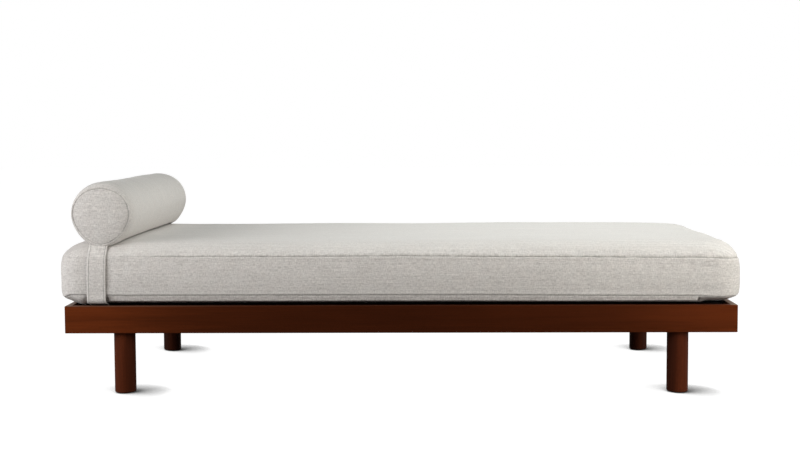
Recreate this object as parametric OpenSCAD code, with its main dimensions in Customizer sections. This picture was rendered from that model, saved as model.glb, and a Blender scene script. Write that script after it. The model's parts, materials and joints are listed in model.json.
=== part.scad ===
// Backless divan: a low wooden frame on four oval legs, a boxed mattress, and a bolster on a strap.
// Millimetres, +Z up, the front faces -Y. The origin is on the floor under the frame's centre.

/* [Frame] */
// Length of the frame, left to right
frame_l = 2000; // [1800:10:2200]
// Depth of the frame, front to back
frame_w = 900; // [780:10:1000]
// Height of the rails
rail_h = 82; // [78:1:110]
// Thickness of the rails
rail_t = 20; // [16:1:26]
// Height of the rails' lower edge above the floor
rail_z = 187; // [120:1:260]
// Width of the rails' eased edges
rail_edge = 1.5; // [0.5:0.5:3]

/* [Deck] */
// Depth of the deck's face below the rails' upper edge
deck_drop = 8; // [4:1:14]
// Number of slats
slat_count = 15; // [11:2:17]
// Width of one slat
slat_w = 70; // [50:1:90]
// Thickness of one slat
slat_t = 18; // [14:1:22]
// Width of the eased edges of the inner timber
timber_edge = 1; // [0.5:0.5:2]
// Width of the ledger strips
ledger_w = 20; // [16:1:24]
// Height of the ledger strips, as a share of the bearers' height
ledger_share = 0.58; // [0.45:0.01:0.65]
// Thickness of the black cloth on the slats
cloth_t = 1; // [0.6:0.2:2]
// Width of the bearers over the legs
bearer_w = 74; // [60:1:90]
// Width of the bearer in the middle
tie_w = 45; // [30:1:60]
// Height of the bearers' underside above the rails' lower edge
bearer_lift = 3; // [0:1:8]
// Length of the corner blocks' sides
block_l = 75; // [60:1:90]

/* [Legs] */
// Radius of the legs' round sides
leg_r = 27; // [22:0.5:34]
// Distance between the centres of the two round sides
leg_spread = 12; // [4:1:24]
// Distance from the frame's end to the legs' middle
leg_inset = 168; // [110:1:300]
// Radius of the rounding at the foot
foot_r = 5; // [2:0.5:8]
// Radius of the glide under each foot
glide_r = 19; // [10:1:20]
// Thickness of the glide's head
glide_t = 2; // [1.5:0.5:5]

/* [Hardware] */
// Radius of the hanger bolts
bolt_r = 4; // [3:0.5:5]
// Length of a hanger bolt inside the leg
bolt_leg_l = 45; // [30:1:70]
// Length of a hanger bolt inside the bearer
bolt_bearer_l = 20; // [14:1:26]
// Outer radius of the threaded inserts
insert_r = 6.5; // [5.5:0.5:8]
// Length of the threaded inserts
insert_l = 22; // [16:1:28]
// Radius of the wood screws
screw_r = 2.25; // [1.5:0.25:2.5]
// Radius of the wood screws' heads
screw_head_r = 4.5; // [3.5:0.5:5.5]
// Length of a wood screw in the second timber
screw_bite = 15; // [10:1:16]
// Length of an angle bracket's leaf
bracket_l = 40; // [30:1:50]
// Clearance of the angle brackets below the ledgers
bracket_clear = 2; // [1:0.5:4]
// Thickness of the brackets' steel
bracket_t = 2; // [1.5:0.5:3]
// Radius of the bracket screws
bracket_screw_r = 1.75; // [1.25:0.25:2]
// Length of the bracket screws
bracket_screw_l = 16; // [10:1:17]

/* [Mattress] */
// Distance by which each end of the mattress stands out over the frame
mat_over_end = 12; // [4:1:14]
// Distance by which the mattress's front and back stand out over the frame
mat_over_side = 2; // [-4:1:8]
// Radius of the mattress's corners, seen from above
mat_corner_r = 68; // [40:1:110]
// Height of the lower seam above the mattress's underside
mat_under_h = 37; // [25:1:50]
// Height of the boxing between the two seams
boxing_h = 114; // [80:1:160]
// Height of the crown above the upper seam
crown_h = 43; // [25:1:60]
// Distance over which the top rises from its seam to the crown
crown_run = 109; // [80:1:160]
// Distance over which the underside curves in from its seam
under_run = 80; // [60:1:110]
// Outward swell of the boxing between the seams
boxing_swell = 3; // [1:0.5:8]
// Distance from the cover's outer faces to the foam block
core_inset = 34; // [24:1:44]
// Clearance between soft pieces that move past each other
soft_gap = 0.3; // [0.2:0.05:0.5]

/* [Zip] */
// Distance of the zip's groove from the left end of the frame
zip_start = 140; // [90:5:400]
// Distance of the zip's groove from the right end of the frame
zip_end = 112; // [90:2:400]
// Distance from the lower seam to the placket, along the depth
placket_in = 3; // [2:0.5:5]
// Width of the placket, along the depth
placket_run = 19; // [15:1:24]
// Thickness of the placket
placket_t = 1.2; // [0.8:0.2:2]
// Depth of the groove behind the placket
zip_groove = 7; // [6.5:0.5:9]
// Thickness of the zip's tape
tape_t = 1; // [0.6:0.2:1.4]
// Width of the zip's chain
chain_w = 5; // [3:0.5:6]
// Length of the zip's slider
slider_l = 12; // [8:1:16]
// Length of the slider's pull
pull_l = 22; // [14:1:30]

/* [Bolster] */
// Distance from each cap of the bolster to the mattress's face below it
bolster_short = 22; // [4:1:60]
// Radius of the bolster at its middle
bolster_r = 96; // [75:1:120]
// Added radius where the bolster swells towards its ends
bolster_swell = 3; // [1:0.5:8]
// Radius of the seam round each end cap
cap_r = 81; // [60:1:90]
// Length over which each end rounds over to its cap
cap_roll = 60; // [30:1:80]
// Outward dome of each end cap
cap_dome = 4; // [1:1:12]
// Depth by which the bolster sinks to the crown
bolster_sink = 13; // [6:1:20]
// Distance from the mattress's left end to the bolster's middle
bolster_in = 134; // [110:1:300]
// Turn of the bolster as it lies, in degrees
bolster_turn = 1.6; // [0:0.2:3]
// Thickness of the bolster's cover
bolster_cover_t = 2; // [1.5:0.5:4]

/* [Strap] */
// Width of the strap
strap_w = 60; // [40:1:80]
// Thickness of the strap
strap_t = 3; // [2:0.5:4]
// Distance of the strap's middle to the left of the bolster's middle
strap_shift = 23; // [0:1:30]
// Distance by which the strap tucks under the mattress
strap_tuck = 52; // [40:1:55]
// Width of the webbing under the mattress
webbing_w = 50; // [30:1:60]
// Thickness of the webbing
webbing_t = 1.2; // [0.8:0.2:1.6]

/* [Hidden] */

// Facets of round forms; each is a true circle above twelve
$fn = 48;
// Overrun of every cut past the face that it opens
cut = 1;
// Play of a screw, bolt or insert in its bore
play = 0.1;
// Play of a leg against the inner face of its rail
leg_play = 0.3;

// The frame's insides
in_x = frame_l / 2 - rail_t;
in_y = frame_w / 2 - rail_t;
rail_top = rail_z + rail_h;
deck_z = rail_top - deck_drop;
slat_top = deck_z - cloth_t;
slat_z = slat_top - slat_t;
bearer_z = rail_z + bearer_lift;
bearer_h = slat_z - bearer_z;
ledger_h = ledger_share * bearer_h;
ledger_z = slat_z - ledger_h;
bracket_h = ledger_z - bearer_z - bracket_t - bracket_clear;
// Clearance of the deck cloth and the slats' ends from the rails
deck_gap = 1;
slat_l = 2 * (in_y - deck_gap);
// Distance of the outer slats' outer edges from the end rails
slat_margin = 10;
slat_pitch = (2 * (in_x - slat_margin) - slat_w) / (slat_count - 1);
// Gap between a ledger's end and the corner block
ledger_gap = 2;
ledger_l = 2 * (in_x - block_l - ledger_gap);
// Places of the ledgers' screws, as shares of half their length, clear of bearers and slats' screws
ledger_screw_shares = [-0.98, -0.7, -0.35, -0.1, 0.1, 0.35, 0.7, 0.98];

// Legs: the spread lies along the diagonal that points to the frame's corner
leg_half = leg_r + leg_spread / 2 * cos(45);
leg_x = frame_l / 2 - leg_inset;
leg_y = in_y - leg_half - leg_play;
leg_top = bearer_z;
// Steps of the rounding at the foot
foot_steps = 5;
// Nail that holds a glide
nail_r = 1.2;
nail_l = 16;
glide_edge = 0.6;

// Brackets: places of the two screws in a leaf, as shares of its length
leaf_shares = [0.42, 0.8];
bracket_play = 0.2;
pan_r = 3;
pan_h = 1.6;

// The mattress's length and depth between its faces, and its heights
mat_l = frame_l + 2 * mat_over_end;
mat_w = frame_w + 2 * mat_over_side;
mat_z = deck_z + webbing_t + 2 * soft_gap;
seam_low = mat_z + mat_under_h;
seam_high = seam_low + boxing_h;
crown_z = seam_high + crown_h;
// Steps of the mattress's outline, and how full its top and underside are
top_steps = 11;
side_steps = 6;
under_steps = 8;
top_fullness = 3.8;
under_fullness = 2;
step_ease = 1.7;
corner_steps = 6;
// Depth and half-width of the crease at each seam
crease_d = 1.5;
crease_h = 2;
// Thickness of the cover and its wadding above and below the foam
core_skin = 20;

// The zip: its groove, and the chain, slider and pull inside it
placket_a = [placket_in - mat_w / 2, under_at(placket_in)];
placket_b = [placket_in + placket_run - mat_w / 2, under_at(placket_in + placket_run)];
placket_w = norm(placket_b - placket_a);
zip_x0 = zip_start - frame_l / 2;
zip_l = frame_l - zip_start - zip_end;
zip_play = 0.3;
chain_h = 1.4;
chain_z = zip_groove - tape_t - chain_h;
slider_w = 9;
slider_wall = 1.1;
slider_z = chain_z - zip_play - slider_wall;
post_h = 1.4;
post_r = 1.2;
pull_w = 6;
pull_t = 0.9;
// Distance of the slider's middle from the right end of the groove when the zip is closed
slider_in = 16;
slider_x = zip_x0 + zip_l - slider_in;

// The bolster's length and place
bolster_l = mat_w - 2 * bolster_short;
bolster_x = bolster_in - mat_l / 2;
bolster_z = crown_z + bolster_r - bolster_sink;
roll_steps = 7;
body_steps = 8;
dome_steps = 3;
strap_x = bolster_x - strap_shift;
// Length of strap that starts inside the bolster's end before it is trimmed
strap_root = 24;

// Outline of the mattress, from the middle of the underside to the seam and on to the crown.
// Each point is [distance in from the face, height].
function under_at(d) =
    seam_low - mat_under_h * (1 - pow(max(0, 1 - d / under_run), under_fullness));
function top_at(d) =
    seam_high + crown_h * (1 - pow(max(0, 1 - d / crown_run), top_fullness));
function swell_at(z) = boxing_swell * sin(180 * (z - seam_low) / boxing_h);
under_pts = [for (i = [0:under_steps - 1])
    let (d = under_run * pow(1 - i / under_steps, step_ease)) [d, under_at(d)]];
side_pts = [for (i = [0:side_steps])
    let (z = seam_low + boxing_h * i / side_steps) [-swell_at(z), z]];
top_pts = [for (i = [1:top_steps])
    let (d = crown_run * pow(i / top_steps, step_ease)) [d, top_at(d)]];
mat_pts = concat(under_pts, side_pts, top_pts);

// An outline moved outwards by a clearance c
function way(pts, i) =
    let (n = len(pts) - 1, v = pts[min(n, i + 1)] - pts[max(0, i - 1)])
    v / norm(v);
function moved(pts, c) =
    [for (i = [0:len(pts) - 1]) let (w = way(pts, i)) pts[i] + c * [-w[1], w[0]]];
// Points [distance in, height] as points [y, height] of the front side, and such points at the back
function front(pts) = [for (p = pts) [p[0] - mat_w / 2, p[1]]];
function mirrored(pts) = [for (i = [len(pts) - 1:-1:0]) [-pts[i][0], pts[i][1]]];

// One ring of the mattress: a rounded rectangle at a distance in from the faces
function ring(d, z) =
    let (a = mat_l / 2 - d - mat_corner_r, b = mat_w / 2 - d - mat_corner_r)
    [for (q = [0:3], i = [0:corner_steps])
        let (t = 90 * (q + i / corner_steps), sx = (q == 0 || q == 3) ? 1 : -1, sy = q < 2 ? 1 : -1)
        [sx * a + mat_corner_r * cos(t), sy * b + mat_corner_r * sin(t), z]];

// A solid through rings of equal length, closed by flat faces
module lofted(rings) {
    n = len(rings[0]);
    m = len(rings);
    walls = [for (j = [0:m - 2], i = [0:n - 1], h = [0, 1])
        let (k = (i + 1) % n, a = j * n + i, b = j * n + k, c = (j + 1) * n + k, d = (j + 1) * n + i)
        h == 0 ? [a, c, b] : [a, d, c]];
    floor_face = [[for (i = [0:n - 1]) i]];
    top_face = [[for (i = [n - 1:-1:0]) (m - 1) * n + i]];
    polyhedron([for (r = rings) each r], concat(floor_face, walls, top_face));
}

// A board's section with eased edges, standing on the X axis and centred on it
module eased(w, h, e) {
    translate([-w / 2, 0])
        polygon([[e, 0], [w - e, 0], [w, e], [w, h - e], [w - e, h], [e, h], [0, h - e], [0, e]]);
}

// A section drawn in Y and Z, drawn out along X and centred there
module along_x(l) {
    rotate([90, 0, 90]) translate([0, 0, -l / 2]) linear_extrude(l) children();
}

// A countersunk wood screw that points down from the origin
module wood_screw(l) {
    rotate_extrude()
        polygon([[0, 0], [screw_head_r, 0], [screw_r, -(screw_head_r - screw_r)],
            [screw_r, -(l - screw_r)], [0, -l]]);
}

// The bore and countersink for a wood screw, open for some way past its head
module screw_bore(l, open = cut) {
    r = screw_r + play;
    h = screw_head_r + play;
    rotate_extrude()
        polygon([[0, open], [h, open], [h, 0], [r, -(h - r)], [r, -(l + play)], [0, -(l + play)]]);
}

// Children turned so that what points down points to the rail on side s
module toward_y(s) {
    rotate([s * 90, 0, 0]) children();
}

module toward_x(s) {
    rotate([0, -s * 90, 0]) children();
}

// Places of the screws through the ledgers, on side s
module at_ledger_screws(s) {
    for (k = ledger_screw_shares)
        translate([k * ledger_l / 2, s * (in_y - ledger_w), ledger_z + ledger_h / 4])
            toward_y(s) children();
}

function slat_x(i) = (i - (slat_count + 1) / 2) * slat_pitch;

// Places of the two screws in slat i
module at_slat_screws(i) {
    for (s = [-1, 1])
        translate([slat_x(i), s * (in_y - ledger_w / 2), slat_top]) children();
}

slat_screw_l = slat_t + ledger_h / 2;
block_screw_in = block_l * 2 / 3;
block_screw_l = block_l - block_screw_in + screw_bite - screw_head_r;

// Places of a corner block's two screws, for the corner on sides sx and sy
module at_block_screws(sx, sy) {
    translate([sx * (in_x - block_screw_in), sy * (in_y - block_l + block_screw_in + screw_head_r),
        bearer_z + bearer_h / 4])
        toward_y(sy) children();
    translate([sx * (in_x - block_l + block_screw_in + screw_head_r), sy * (in_y - block_screw_in),
        bearer_z + bearer_h * 2 / 3])
        toward_x(sx) children();
}

// Places of the legs' axes
module at_leg(sx, sy) {
    translate([sx * leg_x, sy * leg_y, 0]) children();
}

module at_legs() {
    for (sx = [-1, 1], sy = [-1, 1]) at_leg(sx, sy) children();
}

// Places of the brackets: origin in the corner between bearer and rail, leaves along +X and +Y
bracket_places = [
    [-leg_x + bearer_w / 2, -1, 1], [-leg_x + bearer_w / 2, 1, 1],
    [tie_w / 2, -1, 1], [tie_w / 2, 1, 1],
    [leg_x - bearer_w / 2, -1, -1], [leg_x - bearer_w / 2, 1, -1]
];

module at_brackets() {
    for (p = bracket_places)
        translate([p[0], p[1] * in_y, bearer_z + bracket_t])
            mirror([p[2] > 0 ? 0 : 1, 0, 0]) mirror([0, p[1] > 0 ? 1 : 0, 0]) children();
}

// Places of the screws in a bracket's two leaves, each pointing down into its timber
module at_leaf_screws() {
    for (k = leaf_shares) {
        translate([k * bracket_l, bracket_t, bracket_h / 2]) rotate([-90, 0, 0]) children();
        translate([bracket_t, k * bracket_l, bracket_h / 2]) rotate([0, 90, 0]) children();
    }
}

// A straight bore that points down from the origin
module bore(r, l) {
    translate([0, 0, -l]) cylinder(r = r, h = l + cut);
}

// Frame

// The long rail on side s, mitred at both ends
module long_rail(s) {
    x = frame_l / 2 + cut;
    y = frame_w / 2 + cut;
    ix = in_x - cut;
    iy = in_y - cut;
    difference() {
        intersection() {
            translate([0, s * (frame_w - rail_t) / 2, rail_z])
                along_x(frame_l) eased(rail_t, rail_h, rail_edge);
            translate([0, 0, rail_z - cut]) linear_extrude(rail_h + 2 * cut)
                polygon([[-x, s * y], [x, s * y], [ix, s * iy], [-ix, s * iy]]);
        }
        at_ledger_screws(s) screw_bore(ledger_w + screw_bite);
        for (e = [-1, 1]) at_block_screws(e, s) screw_bore(block_screw_l);
        at_brackets() at_leaf_screws() bore(bracket_screw_r + play, bracket_screw_l);
    }
}

// The end rail on side s, mitred at both ends
module end_rail(s) {
    x = frame_l / 2 + cut;
    y = frame_w / 2 + cut;
    ix = in_x - cut;
    iy = in_y - cut;
    difference() {
        intersection() {
            translate([s * (frame_l - rail_t) / 2, 0, rail_z])
                rotate([0, 0, 90]) along_x(frame_w) eased(rail_t, rail_h, rail_edge);
            translate([0, 0, rail_z - cut]) linear_extrude(rail_h + 2 * cut)
                polygon([[s * x, -y], [s * x, y], [s * ix, iy], [s * ix, -iy]]);
        }
        for (e = [-1, 1]) at_block_screws(s, e) screw_bore(block_screw_l);
    }
}

module front_rail() { color("saddlebrown") long_rail(-1); }
module back_rail() { color("saddlebrown") long_rail(1); }
module left_rail() { color("saddlebrown") end_rail(-1); }
module right_rail() { color("saddlebrown") end_rail(1); }

// The strip on side s that carries the slats' ends
module ledger(s) {
    color("burlywood") difference() {
        translate([0, s * (in_y - ledger_w / 2), ledger_z])
            along_x(ledger_l) eased(ledger_w, ledger_h, timber_edge);
        at_ledger_screws(s) screw_bore(ledger_w + screw_bite);
        for (i = [1:slat_count]) at_slat_screws(i) screw_bore(slat_screw_l);
    }
}

module front_ledger() { ledger(-1); }
module back_ledger() { ledger(1); }

// A cross member of width w at place x, notched round the ledgers
module bearer(x, w) {
    difference() {
        translate([x, 0, bearer_z]) rotate([0, 0, 90])
            along_x(2 * in_y) eased(w, bearer_h, timber_edge);
        for (s = [-1, 1])
            translate([x - w / 2 - cut, s * (in_y - ledger_w / 2) - ledger_w / 2 - (s < 0 ? cut : 0),
                ledger_z])
                cube([w + 2 * cut, ledger_w + cut, ledger_h + cut]);
        at_legs() translate([0, 0, bearer_z]) mirror([0, 0, 1]) bore(insert_r + play, insert_l + play);
        at_brackets() at_leaf_screws() bore(bracket_screw_r + play, bracket_screw_l);
    }
}

module left_bearer() { color("burlywood") bearer(-leg_x, bearer_w); }
module centre_bearer() { color("burlywood") bearer(0, tie_w); }
module right_bearer() { color("burlywood") bearer(leg_x, bearer_w); }

// Glue block behind the mitre of the corner on sides sx and sy
module corner_block(sx, sy) {
    color("burlywood") difference() {
        translate([sx * in_x, sy * in_y, bearer_z]) linear_extrude(bearer_h)
            polygon([[0, 0], [-sx * block_l, 0], [0, -sy * block_l]]);
        at_block_screws(sx, sy) screw_bore(block_screw_l, 2 * screw_head_r + cut);
        for (i = [1, slat_count]) at_slat_screws(i) screw_bore(slat_screw_l);
    }
}

module corner_block_1() { corner_block(-1, -1); }
module corner_block_2() { corner_block(1, -1); }
module corner_block_3() { corner_block(-1, 1); }
module corner_block_4() { corner_block(1, 1); }

// Slat i, counted from the left
module slat(i) {
    color("wheat") difference() {
        translate([slat_x(i), 0, slat_z]) rotate([0, 0, 90])
            along_x(slat_l) eased(slat_w, slat_t, timber_edge);
        at_slat_screws(i) screw_bore(slat_screw_l);
    }
}

module deck_cloth() {
    color("black") translate([-(in_x - deck_gap), -(in_y - deck_gap), slat_top])
        cube([2 * (in_x - deck_gap), 2 * (in_y - deck_gap), cloth_t]);
}

// Legs

// Half of a leg's outline: the radius at each height, rounded at the foot
leg_outline = concat(
    [[0, glide_t]],
    [for (i = [0:foot_steps])
        let (t = 90 * i / foot_steps)
        [leg_r - foot_r + foot_r * sin(t), glide_t + foot_r - foot_r * cos(t)]],
    [[leg_r, leg_top], [0, leg_top]]
);
leg_side = [for (i = [1:len(leg_outline) - 2]) leg_outline[i]];

// An oval leg on the corner of sides sx and sy, its long axis along the diagonal
module leg(sx, sy) {
    color("sienna") difference() {
        at_leg(sx, sy) rotate([0, 0, sx * sy * 45]) {
            for (e = [-1, 1]) translate([e * leg_spread / 2, 0, 0])
                rotate_extrude() polygon(leg_outline);
            along_x(leg_spread) polygon(concat(leg_side, mirrored(leg_side)));
        }
        at_leg(sx, sy) translate([0, 0, leg_top]) bore(bolt_r + play, bolt_leg_l + play);
        at_leg(sx, sy) translate([0, 0, glide_t]) mirror([0, 0, 1]) bore(nail_r + play, nail_l + play);
    }
}

module leg_front_left() { leg(-1, -1); }
module leg_front_right() { leg(1, -1); }
module leg_back_left() { leg(-1, 1); }
module leg_back_right() { leg(1, 1); }

// Nail-on glides under the legs
module foot_glides() {
    color("dimgray") at_legs() rotate_extrude()
        polygon([[0, 0], [glide_r - glide_edge, 0], [glide_r, glide_edge], [glide_r, glide_t],
            [nail_r, glide_t], [nail_r, glide_t + nail_l - nail_r], [0, glide_t + nail_l]]);
}

// Hardware

module hanger_bolts() {
    color("silver") at_legs() translate([0, 0, leg_top]) rotate_extrude()
        polygon([[0, -bolt_leg_l], [bolt_r, -(bolt_leg_l - bolt_r)], [bolt_r, bolt_bearer_l],
            [0, bolt_bearer_l]]);
}

module threaded_inserts() {
    color("goldenrod") at_legs() translate([0, 0, bearer_z]) difference() {
        cylinder(r = insert_r, h = insert_l);
        translate([0, 0, -cut]) cylinder(r = bolt_r + play, h = insert_l + 2 * cut);
    }
}

module ledger_screws() {
    color("silver") for (s = [-1, 1]) at_ledger_screws(s) wood_screw(ledger_w + screw_bite);
}

module slat_screws() {
    color("silver") for (i = [1:slat_count]) at_slat_screws(i) wood_screw(slat_screw_l);
}

module block_screws() {
    color("silver") for (sx = [-1, 1], sy = [-1, 1]) at_block_screws(sx, sy) wood_screw(block_screw_l);
}

// Steel angles between the bearers and the long rails
module angle_brackets() {
    color("gray") at_brackets() difference() {
        union() {
            translate([bracket_play, bracket_play, 0])
                cube([bracket_l - bracket_play, bracket_t - bracket_play, bracket_h]);
            translate([bracket_play, bracket_play, 0])
                cube([bracket_t - bracket_play, bracket_l - bracket_play, bracket_h]);
        }
        at_leaf_screws() bore(bracket_screw_r + play, bracket_t + cut);
    }
}

module bracket_screws() {
    color("silver") at_brackets() at_leaf_screws() rotate_extrude()
        polygon([[0, pan_h], [pan_r - pan_h / 2, pan_h], [pan_r, pan_h / 2], [pan_r, 0],
            [bracket_screw_r, 0], [bracket_screw_r, -(bracket_screw_l - bracket_screw_r)],
            [0, -bracket_screw_l]]);
}

// Mattress

// The crowned form of the whole mattress, creased at its two seams
module mattress_form() {
    low_lip = seam_low + crease_h;
    high_lip = seam_high - crease_h;
    outline = concat(
        under_pts,
        [[crease_d, seam_low], [-swell_at(low_lip), low_lip]],
        [for (i = [1:side_steps - 1]) side_pts[i]],
        [[-swell_at(high_lip), high_lip], [crease_d, seam_high]],
        top_pts
    );
    lofted([for (p = outline) ring(p[0], p[1])]);
}

// The foam block in the middle of the mattress
module foam_block() {
    r = mat_corner_r - core_inset;
    x = mat_l / 2 - core_inset;
    y = mat_w / 2 - core_inset;
    translate([0, 0, mat_z + core_skin]) linear_extrude(crown_z - mat_z - 2 * core_skin) {
        square([2 * x, 2 * (y - r)], center = true);
        square([2 * (x - r), 2 * y], center = true);
        for (sx = [-1, 1], sy = [-1, 1]) translate([sx * (x - r), sy * (y - r)]) circle(r);
    }
}

// Sewn cover with its wadding
module mattress_cover() {
    color("linen") difference() {
        mattress_form();
        foam_block();
        at_placket() translate([zip_x0, -placket_w / 2, -cut])
            cube([zip_l, placket_w, zip_groove + cut]);
    }
}

module mattress_core() {
    color("khaki") foam_block();
}

// Children in the placket's frame: Y runs in along it, Z up into the mattress
module at_placket() {
    m = (placket_a + placket_b) / 2;
    v = placket_b - placket_a;
    translate([0, m[0], m[1]]) rotate([atan2(v[1], v[0]), 0, 0]) children();
}

// The flap that hides the zip
module zip_placket() {
    color("linen") at_placket() translate([zip_x0, -placket_w / 2, 0])
        cube([zip_l, placket_w, placket_t]);
}

// Tape and chain at the bottom of the groove
module mattress_zip() {
    color("tan") at_placket() {
        translate([zip_x0, -placket_w / 2, zip_groove - tape_t]) cube([zip_l, placket_w, tape_t]);
        translate([zip_x0, -chain_w / 2, chain_z]) cube([zip_l, chain_w, chain_h]);
    }
}

// Slider that straddles the chain, with the post that carries its pull
module zip_slider() {
    color("silver") at_placket() difference() {
        union() {
            translate([slider_x - slider_l / 2, -slider_w / 2, slider_z])
                cube([slider_l, slider_w, chain_z + chain_h - zip_play - slider_z]);
            translate([slider_x, 0, slider_z - post_h]) cylinder(r = post_r, h = post_h);
        }
        translate([slider_x - slider_l / 2 - cut, -chain_w / 2 - zip_play, chain_z - zip_play])
            cube([slider_l + 2 * cut, chain_w + 2 * zip_play, chain_h + cut]);
    }
}

// Pull that lies flat behind the placket, its eye round the slider's post
module zip_pull() {
    color("silver") at_placket() translate([slider_x, 0, slider_z - post_h + zip_play]) difference() {
        union() {
            cylinder(r = pull_w / 2, h = pull_t);
            translate([-pull_l, -pull_w / 2, 0]) cube([pull_l, pull_w, pull_t]);
        }
        translate([0, 0, -cut]) cylinder(r = post_r + play, h = pull_t + 2 * cut);
    }
}

// Bolster

// Children in the bolster's frame: its axis is Z, turned as it lies on the mattress
module at_bolster() {
    translate([bolster_x, 0, bolster_z]) rotate([0, 0, -bolster_turn]) rotate([-90, 0, 0]) children();
}

// Half of the bolster's outline, a distance t inside its surface
function bolster_outline(t) =
    let (r = bolster_r - t, rc = cap_r - t, h = bolster_l / 2 - t, b = h - cap_roll)
    concat(
        [for (i = [0:dome_steps - 1])
            let (k = i / dome_steps) [rc * k, -(h + cap_dome * (1 - k * k))]],
        [for (i = [0:roll_steps])
            let (a = 90 * i / roll_steps)
            [rc + (r + bolster_swell - rc) * sin(a), -(h - cap_roll * (1 - cos(a)))]],
        [for (i = [1:body_steps - 1])
            let (k = 2 * i / body_steps - 1) [r + bolster_swell * k * k, k * b]],
        [for (i = [roll_steps:-1:0])
            let (a = 90 * i / roll_steps)
            [rc + (r + bolster_swell - rc) * sin(a), h - cap_roll * (1 - cos(a))]],
        [for (i = [dome_steps - 1:-1:0])
            let (k = i / dome_steps) [rc * k, h + cap_dome * (1 - k * k)]]
    );

module bolster_form(t) {
    at_bolster() rotate_extrude() polygon(bolster_outline(t));
}

// The mattress's long middle, grown by a clearance c, which the bolster rests on
module mattress_bed(c) {
    half = front(moved(mat_pts, c));
    along_x(2 * mat_l) polygon(concat(half, mirrored(half)));
}

// Cloth roll with two sewn end caps, flattened where it lies on the mattress
module bolster_cover() {
    color("linen") difference() {
        bolster_form(0);
        bolster_fill();
        mattress_bed(soft_gap);
    }
}

module bolster_fill() {
    difference() {
        bolster_form(bolster_cover_t);
        mattress_bed(soft_gap + bolster_cover_t);
    }
}

module bolster_core() {
    color("ivory") bolster_fill();
}

// The strap's section on the front: up from its tuck under the mattress to the bolster's cap
module strap_section() {
    path = concat([[strap_tuck, under_at(strap_tuck)]], [for (p = under_pts) if (p[0] < strap_tuck) p],
        side_pts);
    inner = front(moved(path, soft_gap));
    outer = front(moved(path, soft_gap + strap_t));
    seam = [-bolster_l / 2, bolster_z - cap_r];
    last = inner[len(inner) - 1];
    lean = (seam - last) / norm(seam - last);
    root = seam + strap_root * lean;
    polygon(concat(inner, [root, root + strap_t * [-lean[1], lean[0]]],
        [for (i = [len(outer) - 1:-1:0]) outer[i]]));
}

// Upholstered strap, front and back, sewn into the caps' seams
module bolster_strap() {
    color("linen") difference() {
        translate([strap_x, 0, 0]) for (s = [0, 1])
            mirror([0, s, 0]) along_x(strap_w) strap_section();
        bolster_form(0);
    }
}

// Elastic webbing that joins the strap's two ends under the mattress
module strap_webbing() {
    path = concat([for (p = under_pts) if (p[0] > strap_tuck) p], [[strap_tuck, under_at(strap_tuck)]]);
    inner = front(moved(path, soft_gap));
    outer = front(moved(path, soft_gap + webbing_t));
    upper = concat(mirrored(inner), inner);
    lower = concat(mirrored(outer), outer);
    color("dimgray") translate([strap_x, 0, 0]) along_x(webbing_w)
        polygon(concat(lower, [for (i = [len(upper) - 1:-1:0]) upper[i]]));
}

front_rail();
back_rail();
left_rail();
right_rail();
front_ledger();
back_ledger();
left_bearer();
centre_bearer();
right_bearer();
corner_block_1();
corner_block_2();
corner_block_3();
corner_block_4();
for (i = [1:slat_count]) slat(i);
deck_cloth();
leg_front_left();
leg_front_right();
leg_back_left();
leg_back_right();
foot_glides();
hanger_bolts();
threaded_inserts();
ledger_screws();
slat_screws();
block_screws();
angle_brackets();
bracket_screws();
mattress_cover();
mattress_core();
mattress_zip();
zip_placket();
zip_slider();
zip_pull();
bolster_cover();
bolster_core();
bolster_strap();
strap_webbing();
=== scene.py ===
import json
import math

import bmesh
import bpy
from bpy.props import FloatProperty, FloatVectorProperty, IntProperty, PointerProperty
from mathutils import Matrix, Vector, noise
from mathutils.bvhtree import BVHTree
from mathutils.kdtree import KDTree


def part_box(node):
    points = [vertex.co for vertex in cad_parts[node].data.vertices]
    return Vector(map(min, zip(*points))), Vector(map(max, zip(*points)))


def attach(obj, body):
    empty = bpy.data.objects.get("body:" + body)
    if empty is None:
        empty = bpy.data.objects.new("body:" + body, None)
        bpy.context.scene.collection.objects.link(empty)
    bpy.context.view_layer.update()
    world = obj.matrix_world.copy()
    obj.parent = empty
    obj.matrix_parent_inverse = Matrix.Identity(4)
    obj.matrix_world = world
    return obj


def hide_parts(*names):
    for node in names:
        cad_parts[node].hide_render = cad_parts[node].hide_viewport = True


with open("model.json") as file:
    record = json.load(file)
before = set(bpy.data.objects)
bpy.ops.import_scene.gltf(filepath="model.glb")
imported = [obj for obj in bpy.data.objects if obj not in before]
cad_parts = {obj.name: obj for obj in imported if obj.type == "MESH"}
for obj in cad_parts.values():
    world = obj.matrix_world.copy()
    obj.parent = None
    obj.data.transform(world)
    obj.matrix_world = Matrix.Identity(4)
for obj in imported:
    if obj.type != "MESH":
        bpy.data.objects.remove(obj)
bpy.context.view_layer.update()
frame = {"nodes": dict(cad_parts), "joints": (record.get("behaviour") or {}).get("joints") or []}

bl_info = {
    "name": "Backless divan",
    "version": (1, 0, 0),
    "blender": (4, 5, 0),
    "location": "View3D > Sidebar > Divan",
    "description": "Dresses a packed divan with sewn upholstery, stained timber and a stage",
    "category": "Object",
}


def middle(name, axis):
    """Middle of a CAD piece's box along an axis"""
    low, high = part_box(name)
    return (low[axis] + high[axis]) / 2


UV_NAME = "cloth"
TURN = 2 * math.pi
QUARTER = math.radians(90)
# Distance within which points are merged
MERGE = 1e-5

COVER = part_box("mattress_cover")
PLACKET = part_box("zip_placket")
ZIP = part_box("mattress_zip")
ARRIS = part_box("front_rail")[1].z
LEG_X, LEG_Y = middle("leg_front_right", 0), middle("leg_back_right", 1)
STRAP_X = middle("bolster_strap", 0)

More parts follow.
